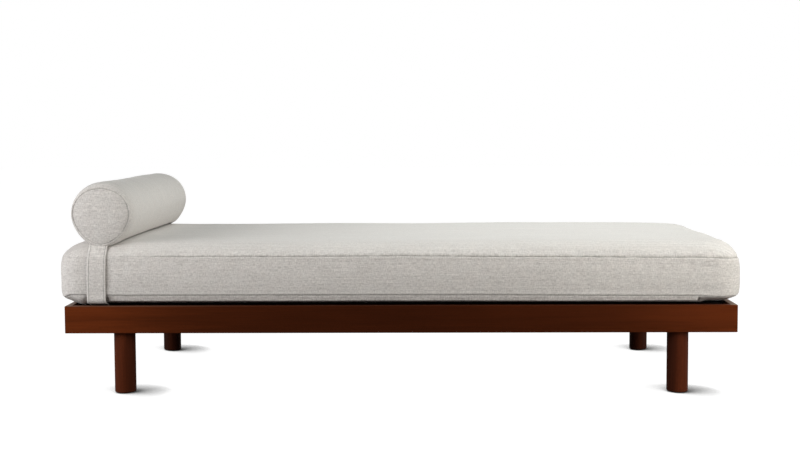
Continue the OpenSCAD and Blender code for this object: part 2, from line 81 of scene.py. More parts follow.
# Length of the bolster's run over the mattress, and the stops along it at which its clearance is measured
RUN = [joint["range_m"][1] for joint in frame["joints"] if joint["name"] == "bolster_slide"][0]
STOPS = [RUN * step / 25 for step in range(26)]
# Height above which nothing of the mattress reaches
CLEAR = COVER[1].z + 0.03


# Settings that a user would change


def length(name, description, default, low, high):
    return FloatProperty(
        name=name, description=description, default=default, min=low, max=high, unit="LENGTH")


def angle(name, description, degrees):
    return FloatProperty(
        name=name, description=description, default=math.radians(degrees), subtype="ANGLE")


def colour(name, description, *default):
    return FloatVectorProperty(
        name=name, description=description, default=default, subtype="COLOR", size=3, min=0, max=1)


class DivanMattress(bpy.types.PropertyGroup):
    """Sizes of the sewn mattress"""

    seam_low: length("Lower seam", "Height of the lower seam above the floor", 0.3000, 0.28, 0.32)
    seam_high: length("Upper seam", "Height of the upper seam above the floor", 0.4165, 0.38, 0.43)
    crown: length("Crown", "Height of the mattress's top above the floor", 0.4568, 0.44, 0.47)
    run: length("Shoulder", "Distance over which the top rises from its seam", 0.109, 0.08, 0.16)
    corner: length("Corner", "Radius of the corners, seen from above", 0.066, 0.04, 0.1)
    swell: length("Swell", "Outward swell of the boxing between its seams", 0.0045, 0.001, 0.008)
    crease: length("Crease", "Depth to which the seams pull the cloth in", 0.0026, 0.001, 0.005)
    pucker: length("Pucker", "Height of the small puckers along the seams", 0.0009, 0.0, 0.003)


class DivanBolster(bpy.types.PropertyGroup):
    """Sizes of the bolster and its strap"""

    radius: length("Radius", "Radius of the bolster at its middle", 0.096, 0.08, 0.12)
    swell: length("Swell", "Added radius near the bolster's two ends", 0.0035, 0.0, 0.008)
    half_length: length(
        "Half length", "Distance from the bolster's middle to each cap's seam", 0.430, 0.35, 0.45)
    cap: length("Cap", "Radius of the seam round each end cap", 0.0845, 0.06, 0.09)
    roll: length("Roll", "Length over which the cloth rounds over to a cap", 0.060, 0.03, 0.08)
    strap_width: length("Strap width", "Width of the sewn strap", 0.0565, 0.04, 0.08)
    strap_thickness: length("Strap thickness", "Thickness of the sewn strap", 0.0026, 0.001, 0.004)


class DivanFinish(bpy.types.PropertyGroup):
    """Colours of the divan"""

    linen_dark: colour("Linen, dark yarn", "Colour of the darker yarns", 0.480, 0.454, 0.438)
    linen_pale: colour("Linen, pale yarn", "Colour of the paler yarns", 0.860, 0.832, 0.802)
    stain: colour("Stained timber", "Main colour of the stained timber", 0.050, 0.0112, 0.0038)
    # Paler stain toward the divan's ends is painted light, standing in for the side lamps' reflections in the
    # lacquer
    lit_end_stain: colour(
        "Stained timber, ends", "Colour of the stained timber near the divan's ends", 0.140, 0.0290, 0.0075)
    stain_dark: colour("Stained timber, dark grain", "Colour of the dark grain", 0.016, 0.0045, 0.0020)
    pine: colour("Plain timber", "Colour of the unstained timber", 0.540, 0.345, 0.170)


class DivanStage(bpy.types.PropertyGroup):
    """Camera, floor and settling"""

    camera_place: FloatVectorProperty(
        name="Camera", description="Place of the camera", subtype="TRANSLATION", size=3, unit="LENGTH",
        default=(0.0826, -4.6556, 0.8157))
    yaw: angle("Yaw", "Camera's turn to the right of straight ahead", -1.099)
    pitch: angle("Pitch", "Camera's tilt below the horizon", 4.328)
    roll: angle("Roll", "Camera's turn about its own axis", 0.268)
    lens: FloatProperty(
        name="Focal length", description="Focal length on a 36 mm wide sensor, in millimetres",
        default=64.2, min=20, max=200)
    shift: FloatProperty(
        name="Shift", description="Upward shift of the view, as a share of its width", default=0.0048)
    floor_size: length("Floor", "Length of the floor's sides", 40.0, 5, 100)
    quality: IntProperty(
        name="Settling frames", description="Frames for which the padded pieces are left to settle",
        default=20, min=5, max=40)


# Shader maths


def maths(operation, flip=False):
    """An operator of Wire: a Math node, which takes the wire second if flipped"""
    return lambda self, other=0.0: self.math(operation, other, flip)


class Wire:
    """A socket of a shader that Python's operators work on"""

    def __init__(self, shade, socket):
        self.shade = shade
        self.socket = socket

    def math(self, operation, other=0.0, flip=False):
        first, second = (other, self) if flip else (self, other)
        return self.shade.node("ShaderNodeMath", {0: first, 1: second}, operation=operation)

    def sine(self, turn):
        """Sine of the wire times a number"""
        return (self * turn).math("SINE")

    __add__ = __radd__ = maths("ADD")
    __sub__ = maths("SUBTRACT")
    __rsub__ = maths("SUBTRACT", flip=True)
    __mul__ = __rmul__ = maths("MULTIPLY")
    __pow__ = maths("POWER")
    __abs__ = maths("ABSOLUTE")


class Shade:
    """A material, or another tree of nodes, under construction"""

    def __init__(self, name, tree=None):
        if tree is None:
            self.material = bpy.data.materials.new(name)
            if self.material.name != name:
                raise RuntimeError("The material name " + name + " is taken")
            self.material.use_nodes = True
            tree = self.material.node_tree
        self.tree = tree
        self.tree.nodes.clear()

    def node(self, kind, inputs=None, out=0, **settings):
        made = self.tree.nodes.new(kind)
        for name, value in settings.items():
            setattr(made, name, value)
        for name, value in (inputs or {}).items():
            if isinstance(value, Wire):
                self.tree.links.new(value.socket, made.inputs[name])
            else:
                made.inputs[name].default_value = value
        return Wire(self, made.outputs[out])

    def split(self, vector):
        outputs = self.node("ShaderNodeSeparateXYZ", {0: vector}).socket.node.outputs
        return [Wire(self, output) for output in outputs]

    def join(self, x, y, z=0.0):
        return self.node("ShaderNodeCombineXYZ", {0: x, 1: y, 2: z})

    def place(self):
        return self.node("ShaderNodeTexCoord", out="Object")

    def grained(self, turn):
        """Coordinates of a place, turned so that the first runs along the grain"""
        return self.split(self.node("ShaderNodeMapping", {"Vector": self.place(), "Rotation": turn}))

    def cloth(self):
        """Length along and across the cloth, in metres"""
        return self.split(self.node("ShaderNodeUVMap", uv_map=UV_NAME))[:2]

    def spread(self, name):
        """A number that the mesh carries at each point"""
        return self.node("ShaderNodeAttribute", out="Fac", attribute_name=name)

    def noise(self, spot, scales, detail, rough, distortion=0.0, seed=0.0):
        """Noise with so many bumps per metre along each of a spot's two or three coordinates"""
        place = [part * scale for part, scale in zip(spot, scales)]
        if len(place) < 3:
            place.append(seed)
        inputs = {"Vector": self.join(*place), "Scale": 1.0, "Detail": detail, "Roughness": rough}
        return self.node("ShaderNodeTexNoise", {**inputs, "Distortion": distortion})

    def ramp(self, value, low, high):
        inputs = {"Value": value, "From Min": low, "From Max": high}
        return self.node("ShaderNodeMapRange", inputs, interpolation_type="SMOOTHSTEP")

    def mix(self, share, first, second):
        ends = [end if isinstance(end, Wire) else (*end[:3], 1.0) for end in (first, second)]
        return self.node("ShaderNodeMix", {0: share, 6: ends[0], 7: ends[1]}, 2, data_type="RGBA")

    def tint(self, tone, factor):
        return self.node("ShaderNodeVectorMath", {0: tone, 1: factor}, operation="MULTIPLY")

    def surface(self, tone, rough, bump, specular=0.5, more=None):
        """The finished material; bump holds a height, its size in metres and its strength"""
        normal = self.node("ShaderNodeBump", dict(zip(("Height", "Distance", "Strength"), bump)))
        inputs = {"Base Color": tone, "Roughness": rough, "Specular IOR Level": specular, "Normal": normal}
        self.finish(self.node("ShaderNodeBsdfPrincipled", {**inputs, **(more or {})}))
        return self.material

    def finish(self, shader, output="ShaderNodeOutputMaterial"):
        self.tree.links.new(shader.socket, self.tree.nodes.new(output).inputs["Surface"])


def scaled(tone, share):
    return [part * share for part in tone]


# Materials


# Pitch of the linen's threads and of the hem's stitches; a hem's stitches and ridge, in from the edge
THREAD_PITCH, STITCH_PITCH = 0.0013, 0.0034
HEM_LINE, HEM_RIDGE = 0.0060, 0.0030
# How far the weave is shifted on each panel, in metres, so that no two panels show the same piece of it
SIDE_SHIFT, BASE_SHIFT, FLAP_SHIFT = 3, 5, 7
CAP_SHIFT, BOLSTER_SHIFT, STRAP_SHIFT = 11, 13, 17


def linen_cloth(finish, name, hemmed=False):
    """Plain-woven linen with slubs both ways, on a UV map in metres; the mesh's seam attribute paints shade
    into creases and highlights onto ridges
    """
    shade = Shade(name)
    spot = along, across = shade.cloth()
    weft, warp, fine_weft, fine_warp = (
        shade.ramp(shade.noise(spot, scales, 2, rough, seed=seed), 0.36, 0.64)
        for scales, rough, seed in (
            ((68, 330), 0.65, 0.0), ((350, 95), 0.65, 4.0), ((90, 620), 0.6, 8.0), ((640, 95), 0.6, 2.0)))
    slub, long_slub, rib, hue = (
        shade.noise(spot, scales, 1, 0.5, seed=seed)
        for scales, seed in (((15, 250), 9.0), ((3.5, 190), 1.0), ((260, 24), 7.0), ((34, 30), 3.0)))
    cloud = shade.noise(spot, (8, 9), 3, 0.55, seed=5.0)
    yarn = weft * 0.5 + warp * 0.5
    thread = fine_weft * 0.5 + fine_warp * 0.5
    streak = shade.ramp(slub, 0.58, 0.72) - shade.ramp(slub, 0.42, 0.28) + shade.ramp(rib, 0.62, 0.76) * 0.5
    calm = shade.spread("calm")
    tone = yarn * 0.54 + thread * 0.46 + streak * 0.16 + (cloud - 0.5) * 0.16
    tone = (tone - 0.5) * (1 - calm * 0.5) + 0.5 + (long_slub - 0.5) * 0.4
    tone = shade.mix(tone, finish.linen_dark, finish.linen_pale)
    warm, cool = shade.tint(tone, (1.0, 0.985, 0.978)), shade.tint(tone, (0.985, 1.0, 1.0))
    tone = shade.mix((hue - 0.5) * 0.9 + 0.5, warm, cool)
    # Painted light from the seam attribute: above 0 it paints shade (in the seams' creases, where the strap
    # turns under the mattress and where the bolster presses on it), below 0 a highlight on the ridge beside a
    # seam
    seam = shade.spread("seam")
    tone = shade.mix(seam * -1.0, tone, finish.linen_pale)
    tone = shade.mix(seam * 0.8, tone, scaled(finish.linen_dark, 0.3))
    over = along.sine(TURN / THREAD_PITCH) * across.sine(TURN / THREAD_PITCH)
    height = over * 0.2 + yarn * 0.3 + thread * 0.35 + streak * 0.2
    if hemmed:
        edge = shade.spread("edge")
        line = 1 - shade.ramp(abs(edge - HEM_LINE), 0.0005, 0.0015)
        ridge = 1 - shade.ramp(abs(edge - HEM_RIDGE), 0.0008, 0.0022)
        stitch = line * shade.ramp(across.sine(TURN / STITCH_PITCH), -0.75, -0.45)
        # Painted highlight on the hem's rounded ridge, and painted shade in the groove of its stitch line,
        # where the stitches are left a little paler
        tone = shade.mix(ridge * 0.3, tone, finish.linen_pale)
        tone = shade.mix(line * 0.62 - stitch * 0.2, tone, scaled(finish.linen_dark, 0.35))
        height = height - line * 0.9 + stitch * 1.1
    bump = height * (1 - calm * 0.4), 0.0007, 0.4
    return shade.surface(tone, 0.92, bump, 0.12, {"Sheen Weight": 0.1, "Sheen Roughness": 0.5})


def shaded_leg(shade, finish, tone):
    """Darkens a leg behind and on its inner side, in the frame's shade"""
    x, y, _ = shade.split(shade.place())
    behind = shade.ramp(y, LEG_Y + 0.016, LEG_Y - 0.004) * shade.ramp(y, -0.3, 0.3) * 0.8
    inner = shade.ramp(abs(x), LEG_X - 0.003, LEG_X - 0.019) * 0.5
    tone = shade.mix((behind + inner).math("MINIMUM", 0.85), tone, finish.stain_dark)
    return shade.tint(tone, (0.95, 1.06, 1.6))


def rail_painted_highlights(shade, tone):
    """Paints a highlight along a rail's upper arris, stronger at the left, and a painted reflection on its
    top at the divan's two ends, stronger at the right
    """
    x, _, z = shade.split(shade.place())
    # Painted highlight along the upper arris, stronger toward the left end
    arris_highlight = shade.ramp(z, ARRIS - 0.0032, ARRIS - 0.0012) * (0.05 + 0.5 * shade.ramp(x, -0.35, -0.95))
    tone = shade.mix(arris_highlight, tone, (0.135, 0.075, 0.05))
    # Painted reflection on the end rails' tops, stronger toward the right
    top = shade.ramp(z, ARRIS - 0.0008, ARRIS - 0.0002) * shade.ramp(abs(x), 0.978, 0.982)
    return shade.mix(top * (0.25 + 0.35 * shade.ramp(x, -0.5, 0.5)), tone, (0.30, 0.22, 0.15))


def stained_timber(finish, name, turn, leg=False):
    """Red-brown stained timber with satin lacquer, with painted light that pales it toward the divan's ends;
    turn brings the grain to X
    """
    shade = Shade(name)
    spot = x, y, z = shade.grained(turn)
    bend = shade.noise(spot, (1.6, 5, 5), 2, 0.5) * 0.03
    figure = shade.noise((x, y + bend, z + bend), (1.1, 26, 26), 4, 0.6, 0.4)
    streak = shade.noise(spot, (7, 330, 330), 3, 0.6)
    pores = shade.ramp(shade.noise(spot, (60, 1500, 1500), 1, 0.5), 0.36, 0.26)
    blotch = shade.noise(spot, (2.4, 7, 7), 2, 0.5)
    grain = shade.ramp(figure, 0.35, 0.65) * 0.5 + shade.ramp(streak, 0.35, 0.65) * 0.3 + blotch * 0.2
    out_x = shade.split(shade.place())[0]
    # Painted light: the stain pales toward the divan's two ends, with random blotches, standing in for the
    # side lamps' reflections
    painted_end_light = ((abs(out_x - 0.03) + (blotch - 0.5) * 0.55) * 1.04) ** 2.4
    pale = shade.mix(painted_end_light, finish.stain, finish.lit_end_stain)
    tone = shade.mix(grain, shade.mix(0.5, pale, finish.stain_dark), pale)
    tone = shaded_leg(shade, finish, tone) if leg else rail_painted_highlights(shade, tone)
    tone = shade.mix(pores * 0.35, tone, scaled(finish.stain_dark, 0.35))
    bump = streak * 0.5 - pores * 0.6, 0.0002, 0.35
    return shade.surface(tone, 0.34 + streak * 0.14, bump, 0.12, {"Specular Tint": (1.0, 0.25, 0.1, 1.0)})


def plain_timber(finish, name, turn):
    """Planed, unstained timber; turn brings the grain to X"""
    shade = Shade(name)
    spot = shade.grained(turn)
    bands = abs(shade.noise(spot, (0.9, 22, 22), 3, 0.6, 0.8).sine(60))
    streak = shade.noise(spot, (9, 420, 420), 2, 0.6)
    tone = shade.mix(bands * 0.45 + streak * 0.4, finish.pine, scaled(finish.pine, 0.62))
    return shade.surface(tone, 0.62 + streak * 0.15, (streak, 0.0002, 0.4), 0.3)


def deck_felt(name):
    """Black non-woven cloth, on the deck and under the mattress"""
    shade = Shade(name)
    spot = shade.split(shade.place())[:2]
    fibre = shade.noise(spot, (800, 800), 3, 0.7)
    cell = shade.noise(spot, (90, 90), 2, 0.5)
    tone = shade.mix(fibre, (0.006, 0.006, 0.006), (0.022, 0.021, 0.020))
    return shade.surface(tone, 0.95, (fibre * 0.6 + cell * 0.4, 0.0005, 0.6), 0.1)


def woven_tape(name, dark, pale, pitch, ribbed=0.5):
    """Narrow woven tape or webbing on a UV map in metres; ribbed is the share of its ribs in the relief"""
    shade = Shade(name)
    spot = along, across = shade.cloth()
    turn = TURN / pitch
    rib = along.sine(turn) * 0.5 + 0.5
    cord = (across * turn).sine(1.4) * 0.5 + 0.5
    height = rib * ribbed + cord * (1 - ribbed) + shade.noise(spot, (900, 900), 2, 0.6) * 0.3
    tone = shade.mix(shade.ramp(height, 0.2, 1.1), dark, pale)
    return shade.surface(tone, 0.85, (height, 0.0004, 0.6), 0.2)


def brushed_metal(name, tone, rough=0.32):
    """Plated metal with fine turning marks"""
    shade = Shade(name)
    spot = shade.split(shade.place())
    mark = shade.noise(spot, (260, 260, 2600), 2, 0.6)
    tarnish = shade.noise(spot, (45, 45, 45), 2, 0.5)
    tone = shade.mix(tarnish, scaled(tone, 0.78), tone)
    return shade.surface(tone, rough + mark * 0.16, (mark, 0.00008, 0.3), more={"Metallic": 1.0})


def moulded_plastic(name, tone):
    """Moulded plastic with a fine spark-eroded grain"""
    shade = Shade(name)
    spot = shade.split(shade.place())
    grain = shade.noise(spot, (1400, 1400, 1400), 2, 0.6)
    scuff = shade.noise(spot, (160, 160, 160), 3, 0.6)
    tone = shade.mix(scuff, scaled(tone, 0.7), scaled(tone, 1.5))
    return shade.surface(tone, 0.45 + scuff * 0.2, (grain, 0.0001, 0.4))


# Meshes and objects


def grid(columns, rows, size=0.5):
    bm = bmesh.new()
    bmesh.ops.create_grid(bm, x_segments=columns, y_segments=rows, size=size)
    return bm


def node_shell(name):
    """A CAD node's mesh with its points merged"""
    bm = bmesh.new()
    bm.from_mesh(frame["nodes"][name].data)
    bmesh.ops.remove_doubles(bm, verts=bm.verts[:], dist=MERGE)
    return bm


def edge_point(u, v, half_x, half_y, radius):
    """The edge of the square -1..1 laid round a rounded rectangle, spaced by length along each side"""
    turned = abs(u) > abs(v)
    if turned:
        u, v, half_x, half_y = v, u, half_y, half_x
    straight = half_x - radius
    run = abs(u) * (straight + math.pi / 4 * radius)
    if run <= straight or radius <= 0:
        x, y = run, half_y
    else:
        bend = (run - straight) / radius
        x, y = straight + radius * math.sin(bend), half_y - radius + radius * math.cos(bend)
    x, y = math.copysign(x, u), math.copysign(y, v)
    return (y, x) if turned else (x, y)


def sewn_shell(columns, rows, rings, back_grid):
    """A grid with rings extruded from its edge, closed by a flat face or by a second grid.

    Returns the bmesh, and its layers: the place u, v on the first grid's square, and the ring,
    which is 0 on the first grid and its edge, and rings + 1 inside the second grid."""
    bm = grid(columns, rows, 1)
    u_layer = bm.verts.layers.float.new("u")
    v_layer = bm.verts.layers.float.new("v")
    ring_layer = bm.verts.layers.int.new("ring")
    for vert in bm.verts:
        vert[u_layer], vert[v_layer] = vert.co.x, vert.co.y
    edges = [edge for edge in bm.edges if edge.is_boundary]
    for ring in range(1, rings + 1):
        grown = bmesh.ops.extrude_edge_only(bm, edges=edges)["geom"]
        for item in grown:
            if isinstance(item, bmesh.types.BMVert):
                item[ring_layer] = ring
        edges = [
            item for item in grown
            if isinstance(item, bmesh.types.BMEdge) and all(vert[ring_layer] == ring for vert in item.verts)]
    if back_grid:
        made = bmesh.ops.create_grid(bm, x_segments=columns, y_segments=rows, size=1)
        for vert in made["verts"]:
            vert[u_layer], vert[v_layer] = vert.co.x, vert.co.y
            vert[ring_layer] = rings + 1
    else:
        bmesh.ops.contextual_create(bm, geom=edges)
    return bm, (u_layer, v_layer, ring_layer)


def recalc(bm):
    bmesh.ops.recalc_face_normals(bm, faces=bm.faces[:])


def lay_cloth(bm, place):
    """Lays the weave by a rule that turns a point's place into U and V"""
    uv = bm.loops.layers.uv.new(UV_NAME)
    for face in bm.faces:
        for loop in face.loops:
            loop[uv].uv = place(loop.vert.co)


def linked(name, data):
    """A new object in the scene"""
    made = bpy.data.objects.new(name, data)
    bpy.context.scene.collection.objects.link(made)
    return made


def as_object(name, bm, body, slot, *materials):
    """A finished mesh as an object that rides on a body"""
    for face in bm.faces:
        face.smooth = True
    mesh = bpy.data.meshes.new(name)
    bm.to_mesh(mesh)
    bm.free()
    piece = linked(name, mesh)
    for material in materials:
        mesh.materials.append(bpy.data.materials[material])
    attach(piece, body)
    return piece


def dress(looks):
    """Gives CAD nodes their materials, from a table of name to material"""
    for name, material in looks.items():
        data = frame["nodes"][name].data
        data.materials.clear()
        data.materials.append(material)


def wave(place, scale, seed):
    """Smooth noise from -1 to 1 at a place, with a scale in bumps per metre"""
    x, y, z = place
    return speck(x * scale + seed, y * scale - seed, z * scale + 2 * seed)


def speck(x, y, z):
    return noise.noise(Vector((x, y, z)))


def eased(value, low, high):
    """0 at low and 1 at high, with a soft start and end"""
    share = min(1.0, max(0.0, (value - low) / (high - low)))
    return share * share * (3 - 2 * share)


def bell(distance, width, power=2):
    """1 at no distance, falling off over a width"""
    return math.exp(-((distance / width) ** power))


# The mattress's outline. Rings of the top by their distance in from the upper seam, the innermost first
INNER_RUN = 0.124
TOP_RUNS = [0.112, 0.100, 0.089, 0.079, 0.069, 0.060, 0.052, 0.0445, 0.0375, 0.031, 0.0252, 0.020,
            0.0155, 0.0115, 0.0082, 0.0055, 0.0034, 0.0018, 0.0007]
# Rings of the boxing by their distance from either seam
SIDE_STEPS = [0.0007, 0.0018, 0.0034, 0.0056, 0.0085, 0.0125, 0.0178, 0.024, 0.031, 0.039, 0.048]
# Rings of the underside by their distance in from the lower seam
UNDER_RUNS = [0.0007, 0.0017, 0.0028, 0.0030, 0.0034, 0.0080, 0.0140, 0.0210, 0.0218, 0.0222, 0.0280, 0.0328,
              0.0334, 0.046, 0.056, 0.067, 0.080]
# First and last ring of the zip's groove in the underside, and how far it goes up and in
GROOVE_FIRST, GROOVE_LAST = 4, 7
GROOVE_UP, GROOVE_IN = 0.0066, 0.0032
# Ring of the underside at which the linen gives way to the black base cloth, which also stands in for the
# deep shade under the mattress's edge
BASE_RING = 11
# Where the filling stands up or lies low: X, Y, reach along X and Y, rise
LUMPS = (
    (0.50, 0.0, 0.30, 9.0, 0.0016),
    (-0.88, 0.0, 0.10, 9.0, 0.0020),
    (-0.60, 0.25, 0.22, 0.3, -0.0022),
    (0.02, 0.25, 0.16, 0.3, -0.0018),
    (0.92, 0.22, 0.09, 0.20, -0.0048),
    (0.96, -0.16, 0.06, 0.16, 0.0034),
    (0.99, -0.38, 0.05, 0.07, 0.0060),
)
# Seeds of the puckers along the upper seam's two sides and the lower seam
TOP_SEED, SIDE_SEED, LOW_SEED = 21, 33, 47
# How much shade is painted on the rings from a seam outwards, and with the painted highlight on the ridge
# above the lower seam
SEAM_SHADES = (1.0, 0.8, 0.3, 0.0, 0.0, 0.0)
RIDGE_SHADES = (1.0, 0.8, 0.3, -0.3, -0.3, -0.1)
# Radius of the corners where the top's shoulders end
INNER_CORNER = 0.012
# Squares of the grid on the mattress's top, along and across
MATTRESS_GRID = 320, 132


class MattressForm:
    """Where each point of the mattress's cover lies"""

    middle_x = -0.0013
    half_x, half_y = 1.0162, 0.4485
    under = COVER[0].z
    crease_high = len(TOP_RUNS) + 1
    crease_low = crease_high + 2 * len(SIDE_STEPS) + 2
    rings = crease_low + len(UNDER_RUNS)

    def __init__(self, sizes):
        self.sizes = sizes

    def seam_high(self, x):
        drop = 0.0055 * eased(x, -0.1, 0.85) + 0.006 * eased(x, 0.86, 1.02)
        waver = 0.0012 * speck(x * 3.1, 1.7, 0) + 0.0008 * speck(x * 17, 5.2, 0)
        return self.sizes.seam_high - drop + waver

    def seam_low(self, x):
        drop = 0.004 * eased(x, 0.1, 0.8) + 0.005 * eased(x, 0.84, 1.0)
        drop += 0.0095 * eased(x, -0.975, -1.015)
        return self.sizes.seam_low + 0.0015 * eased(x, -0.8, -0.95) - drop

    def corner(self, x, y):
        """Radius of the nearest corner, larger at the right end"""
        right = eased(x, 0.2, 1.0)
        back, front = 0.014 * right * eased(y, 0.0, 0.4), 0.016 * right * eased(y, 0.0, -0.4)
        return self.sizes.corner + back + front

    def plan(self, u, v, inset):
        """Place seen from above, at a distance in from the seams"""
        share = eased(inset, 0.116, 0.03)
        radius = INNER_CORNER + share * (self.corner(u, v * 0.44) - INNER_CORNER)
        x, y = edge_point(u, v, self.half_x - inset, self.half_y - inset, radius)
        return x + self.middle_x, y

    def crown(self, x, y):
        """Height of the top, away from its shoulders"""
        soft = 0.0016 * (wave((x, y, 0), 2.2, 11) - 0.6) + 0.0007 * (wave((x, y, 0), 7.0, 4) - 0.6)
        full = sum(
            rise * math.exp(-(((x - at_x) / reach_x) ** 2) - ((y - at_y) / reach_y) ** 2)
            for at_x, at_y, reach_x, reach_y, rise in LUMPS)
        return self.sizes.crown + soft + full

    def top(self, x, y, inset):
        rise = 1 - max(0.0, 1 - inset / self.sizes.run) ** 3.8
        low = self.seam_high(x)
        return low + (self.crown(x, y) - low) * rise

    def bottom(self, x, inset, front):
        """Height of the underside, fuller in the front left corner and flatter in the front right one"""
        low = self.seam_low(x)
        power = 2 + front * (2.4 * eased(x, -0.932, -0.950) - 0.7 * eased(x, 0.892, 0.91))
        return low - (low - self.under) * (1 - max(0.0, 1 - inset / UNDER_RUNS[-1]) ** power)

    def front(self, u, v):
        """1 along the front, 0 along the ends and the back"""
        if v > 0:
            return 0.0
        if abs(u) > abs(v):
            return 0.5 * eased(-v, 0.88, 1.0)
        return 0.5 + 0.5 * eased(1 - abs(u), 0.0, 0.052)

    def tuck(self, along, away, seed, firm=1.0):
        """How far the seam pulls the cloth in, at a distance from it, with its puckers"""
        pull = self.sizes.crease * bell(away, 0.0017, 1.3) - 0.0007 * bell(away - 0.0055, 0.003)
        pull *= firm
        strength = 0.55 + 0.45 * speck(along * 6, seed, 3)
        ripple = speck(along * 62, seed, 0) + 0.5 * speck(along * 130, seed, 9)
        fade = math.exp(-away / 0.016)
        return pull + self.sizes.pucker * strength * (0.4 + ripple) * fade

    def seam(self, u, v, ring):
        """How much shade is painted into a seam's crease: 1 in a seam, 0 away from it, below 0 for a painted
        highlight on a ridge
        """
        high, low = abs(ring - self.crease_high), abs(ring - self.crease_low)
        near = min(high, low)
        if near >= len(SEAM_SHADES):
            return 0.0
        spot = self.around(u, v), 0, 0
        if low < high:
            uneven = 0.75 + 0.5 * wave(spot, 24, 6)
            shades = RIDGE_SHADES if ring < self.crease_low else SEAM_SHADES
        else:
            x = self.plan(u, v, 0)[0]
            # The upper seam's painted shade fades out toward the left end
            uneven = (0.55 + 0.75 * wave(spot, 30, 6)) * (1 - 0.85 * eased(x, -0.48, -0.84))
            shades = SEAM_SHADES
        return min(1.0, max(0.1, uneven)) * shades[near]

    def on_top(self, u, v, ring, along, firm):
        inset = INNER_RUN if ring == 0 else TOP_RUNS[ring - 1]
        tuck = self.tuck(along, inset, TOP_SEED, firm)
        x, y = self.plan(u, v, inset + 0.5 * tuck)
        return x, y, self.top(x, y, inset) - tuck

    def on_side(self, u, v, step, along, firm):
        count = len(SIDE_STEPS)
        x = self.plan(u, v, 0)[0]
        high, low = self.seam_high(x), self.seam_low(x)
        if step < count:
            z = high - SIDE_STEPS[step]
        elif step == count:
            z = (high + low) / 2
        else:
            z = low + SIDE_STEPS[2 * count - step]
        share = (z - low) / (high - low)
        tuck = max(
            self.tuck(along, high - z, SIDE_SEED, firm), self.tuck(along, z - low, LOW_SEED), key=abs)
        bulge = self.sizes.swell * (1 - abs(2 * share ** 0.85 - 1) ** 3)
        soft = 0.0009 * wave((along, z * 2.2, 0), 9, 15) * math.sin(math.pi * share)
        return *self.plan(u, v, tuck - bulge - soft), z

    def underneath(self, u, v, step, along):
        inset = UNDER_RUNS[step]
        tuck = self.tuck(along, inset, LOW_SEED)
        x, y = self.plan(u, v, inset + 0.4 * tuck)
        z = self.bottom(x, inset, self.front(u, v)) + tuck
        if GROOVE_FIRST <= step <= GROOVE_LAST and v < -0.99 and ZIP[0].x - 0.001 < x < ZIP[1].x + 0.001:
            z += GROOVE_UP
            y += GROOVE_IN
        return x, y, z

    def at(self, u, v, ring):
        """Place of a point from its place on the first grid's square and its ring"""
        if ring == 0 and max(abs(u), abs(v)) <= 0.999:
            x, y = u * (self.half_x - INNER_RUN) + self.middle_x, v * (self.half_y - INNER_RUN)
            return Vector((x, y, self.crown(x, y)))
        along = self.around(u, v)
        firm = 1 - 0.65 * eased(u, -0.48, -0.82)
        if ring < self.crease_high:
            return Vector(self.on_top(u, v, ring, along, firm))
        if ring == self.crease_high:
            x, y = self.plan(u, v, self.tuck(along, 0, TOP_SEED, firm))
            return Vector((x, y, self.seam_high(x)))
        if ring < self.crease_low:
            return Vector(self.on_side(u, v, ring - self.crease_high - 1, along, firm))
        if ring == self.crease_low:
            x, y = self.plan(u, v, self.tuck(along, 0, LOW_SEED))
            return Vector((x, y, self.seam_low(x)))
        return Vector(self.underneath(u, v, ring - self.crease_low - 1, along))

    def away(self, spot):
        """Distance from a place to the nearer seam"""
        inset = max(0.0, min(self.half_x - abs(spot.x - self.middle_x), self.half_y - abs(spot.y)))
        rise = min(abs(spot.z - self.seam_high(spot.x)), abs(spot.z - self.seam_low(spot.x)))
        return math.hypot(inset, rise)

    def hold(self, spot):
        """How firmly a place is held: by a seam, the deck, the strap or the filling"""
        away = self.away(spot)
        if spot.z < self.seam_low(spot.x) - 0.004:
            return 1.0
        strap = 1 - eased(abs(spot.x - STRAP_X), 0.036, 0.055)
        filling = 0.06 + 0.14 * eased(away, 0.0, 0.08) if spot.z > self.seam_high(spot.x) else 0.13
        return max(filling, strap, eased(away, 0.014, 0.007))

    def taut(self, spot):
        return eased(self.away(spot), 0.01, 0.07)

    def around(self, u, v):
        """Length along the seam to a place on it, from the back left corner"""
        radius = self.sizes.corner
        long_side, short_side = (
            2 * (half - radius + math.pi / 4 * radius) for half in (self.half_x, self.half_y))
        if abs(v) >= abs(u):
            if v > 0:
                return (u + 1) / 2 * long_side
            return long_side + short_side + (1 - u) / 2 * long_side
        if u > 0:
            return long_side + (1 - v) / 2 * short_side
        return 2 * long_side + short_side + (v + 1) / 2 * short_side


def lay_mattress_cloth(bm, layers, form):
    """Lays the weave flat on each panel: by plan on top and bottom, by length on the boxing"""
    u_layer, v_layer, ring_layer = layers
    uv = bm.loops.layers.uv.new(UV_NAME)
    whole = form.around(-1, 0.9999) + 1e-3
    for face in bm.faces:
        rings = [vert[ring_layer] for vert in face.verts]
        top, bottom = max(rings) <= form.crease_high, min(rings) >= form.crease_low
        if top or bottom:
            for loop in face.loops:
                loop[uv].uv = (loop.vert.co.x, loop.vert.co.y + (0 if top else BASE_SHIFT))
            continue
        spots = [form.around(vert[u_layer], vert[v_layer]) for vert in face.verts]
        if max(spots) - min(spots) > whole / 2:
            spots = [spot + whole if spot < whole / 2 else spot for spot in spots]
        for loop, spot in zip(face.loops, spots):
            loop[uv].uv = (spot, loop.vert.co.z + SIDE_SHIFT)


# How the upholstery's linen behaves while it settles
CLOTH_RULES = {
    "quality": 5,
    "mass": 0.3,
    "tension_stiffness": 15,
    "compression_stiffness": 15,
    "shear_stiffness": 5,
    "bending_stiffness": 2,
    "use_pressure": True,
    "uniform_pressure_force": 3.0,
    "vertex_group_mass": "hold",
    "vertex_group_shrink": "taut",
}
# Points of the settled cloth that each point of a piece follows
NEAREST = 6


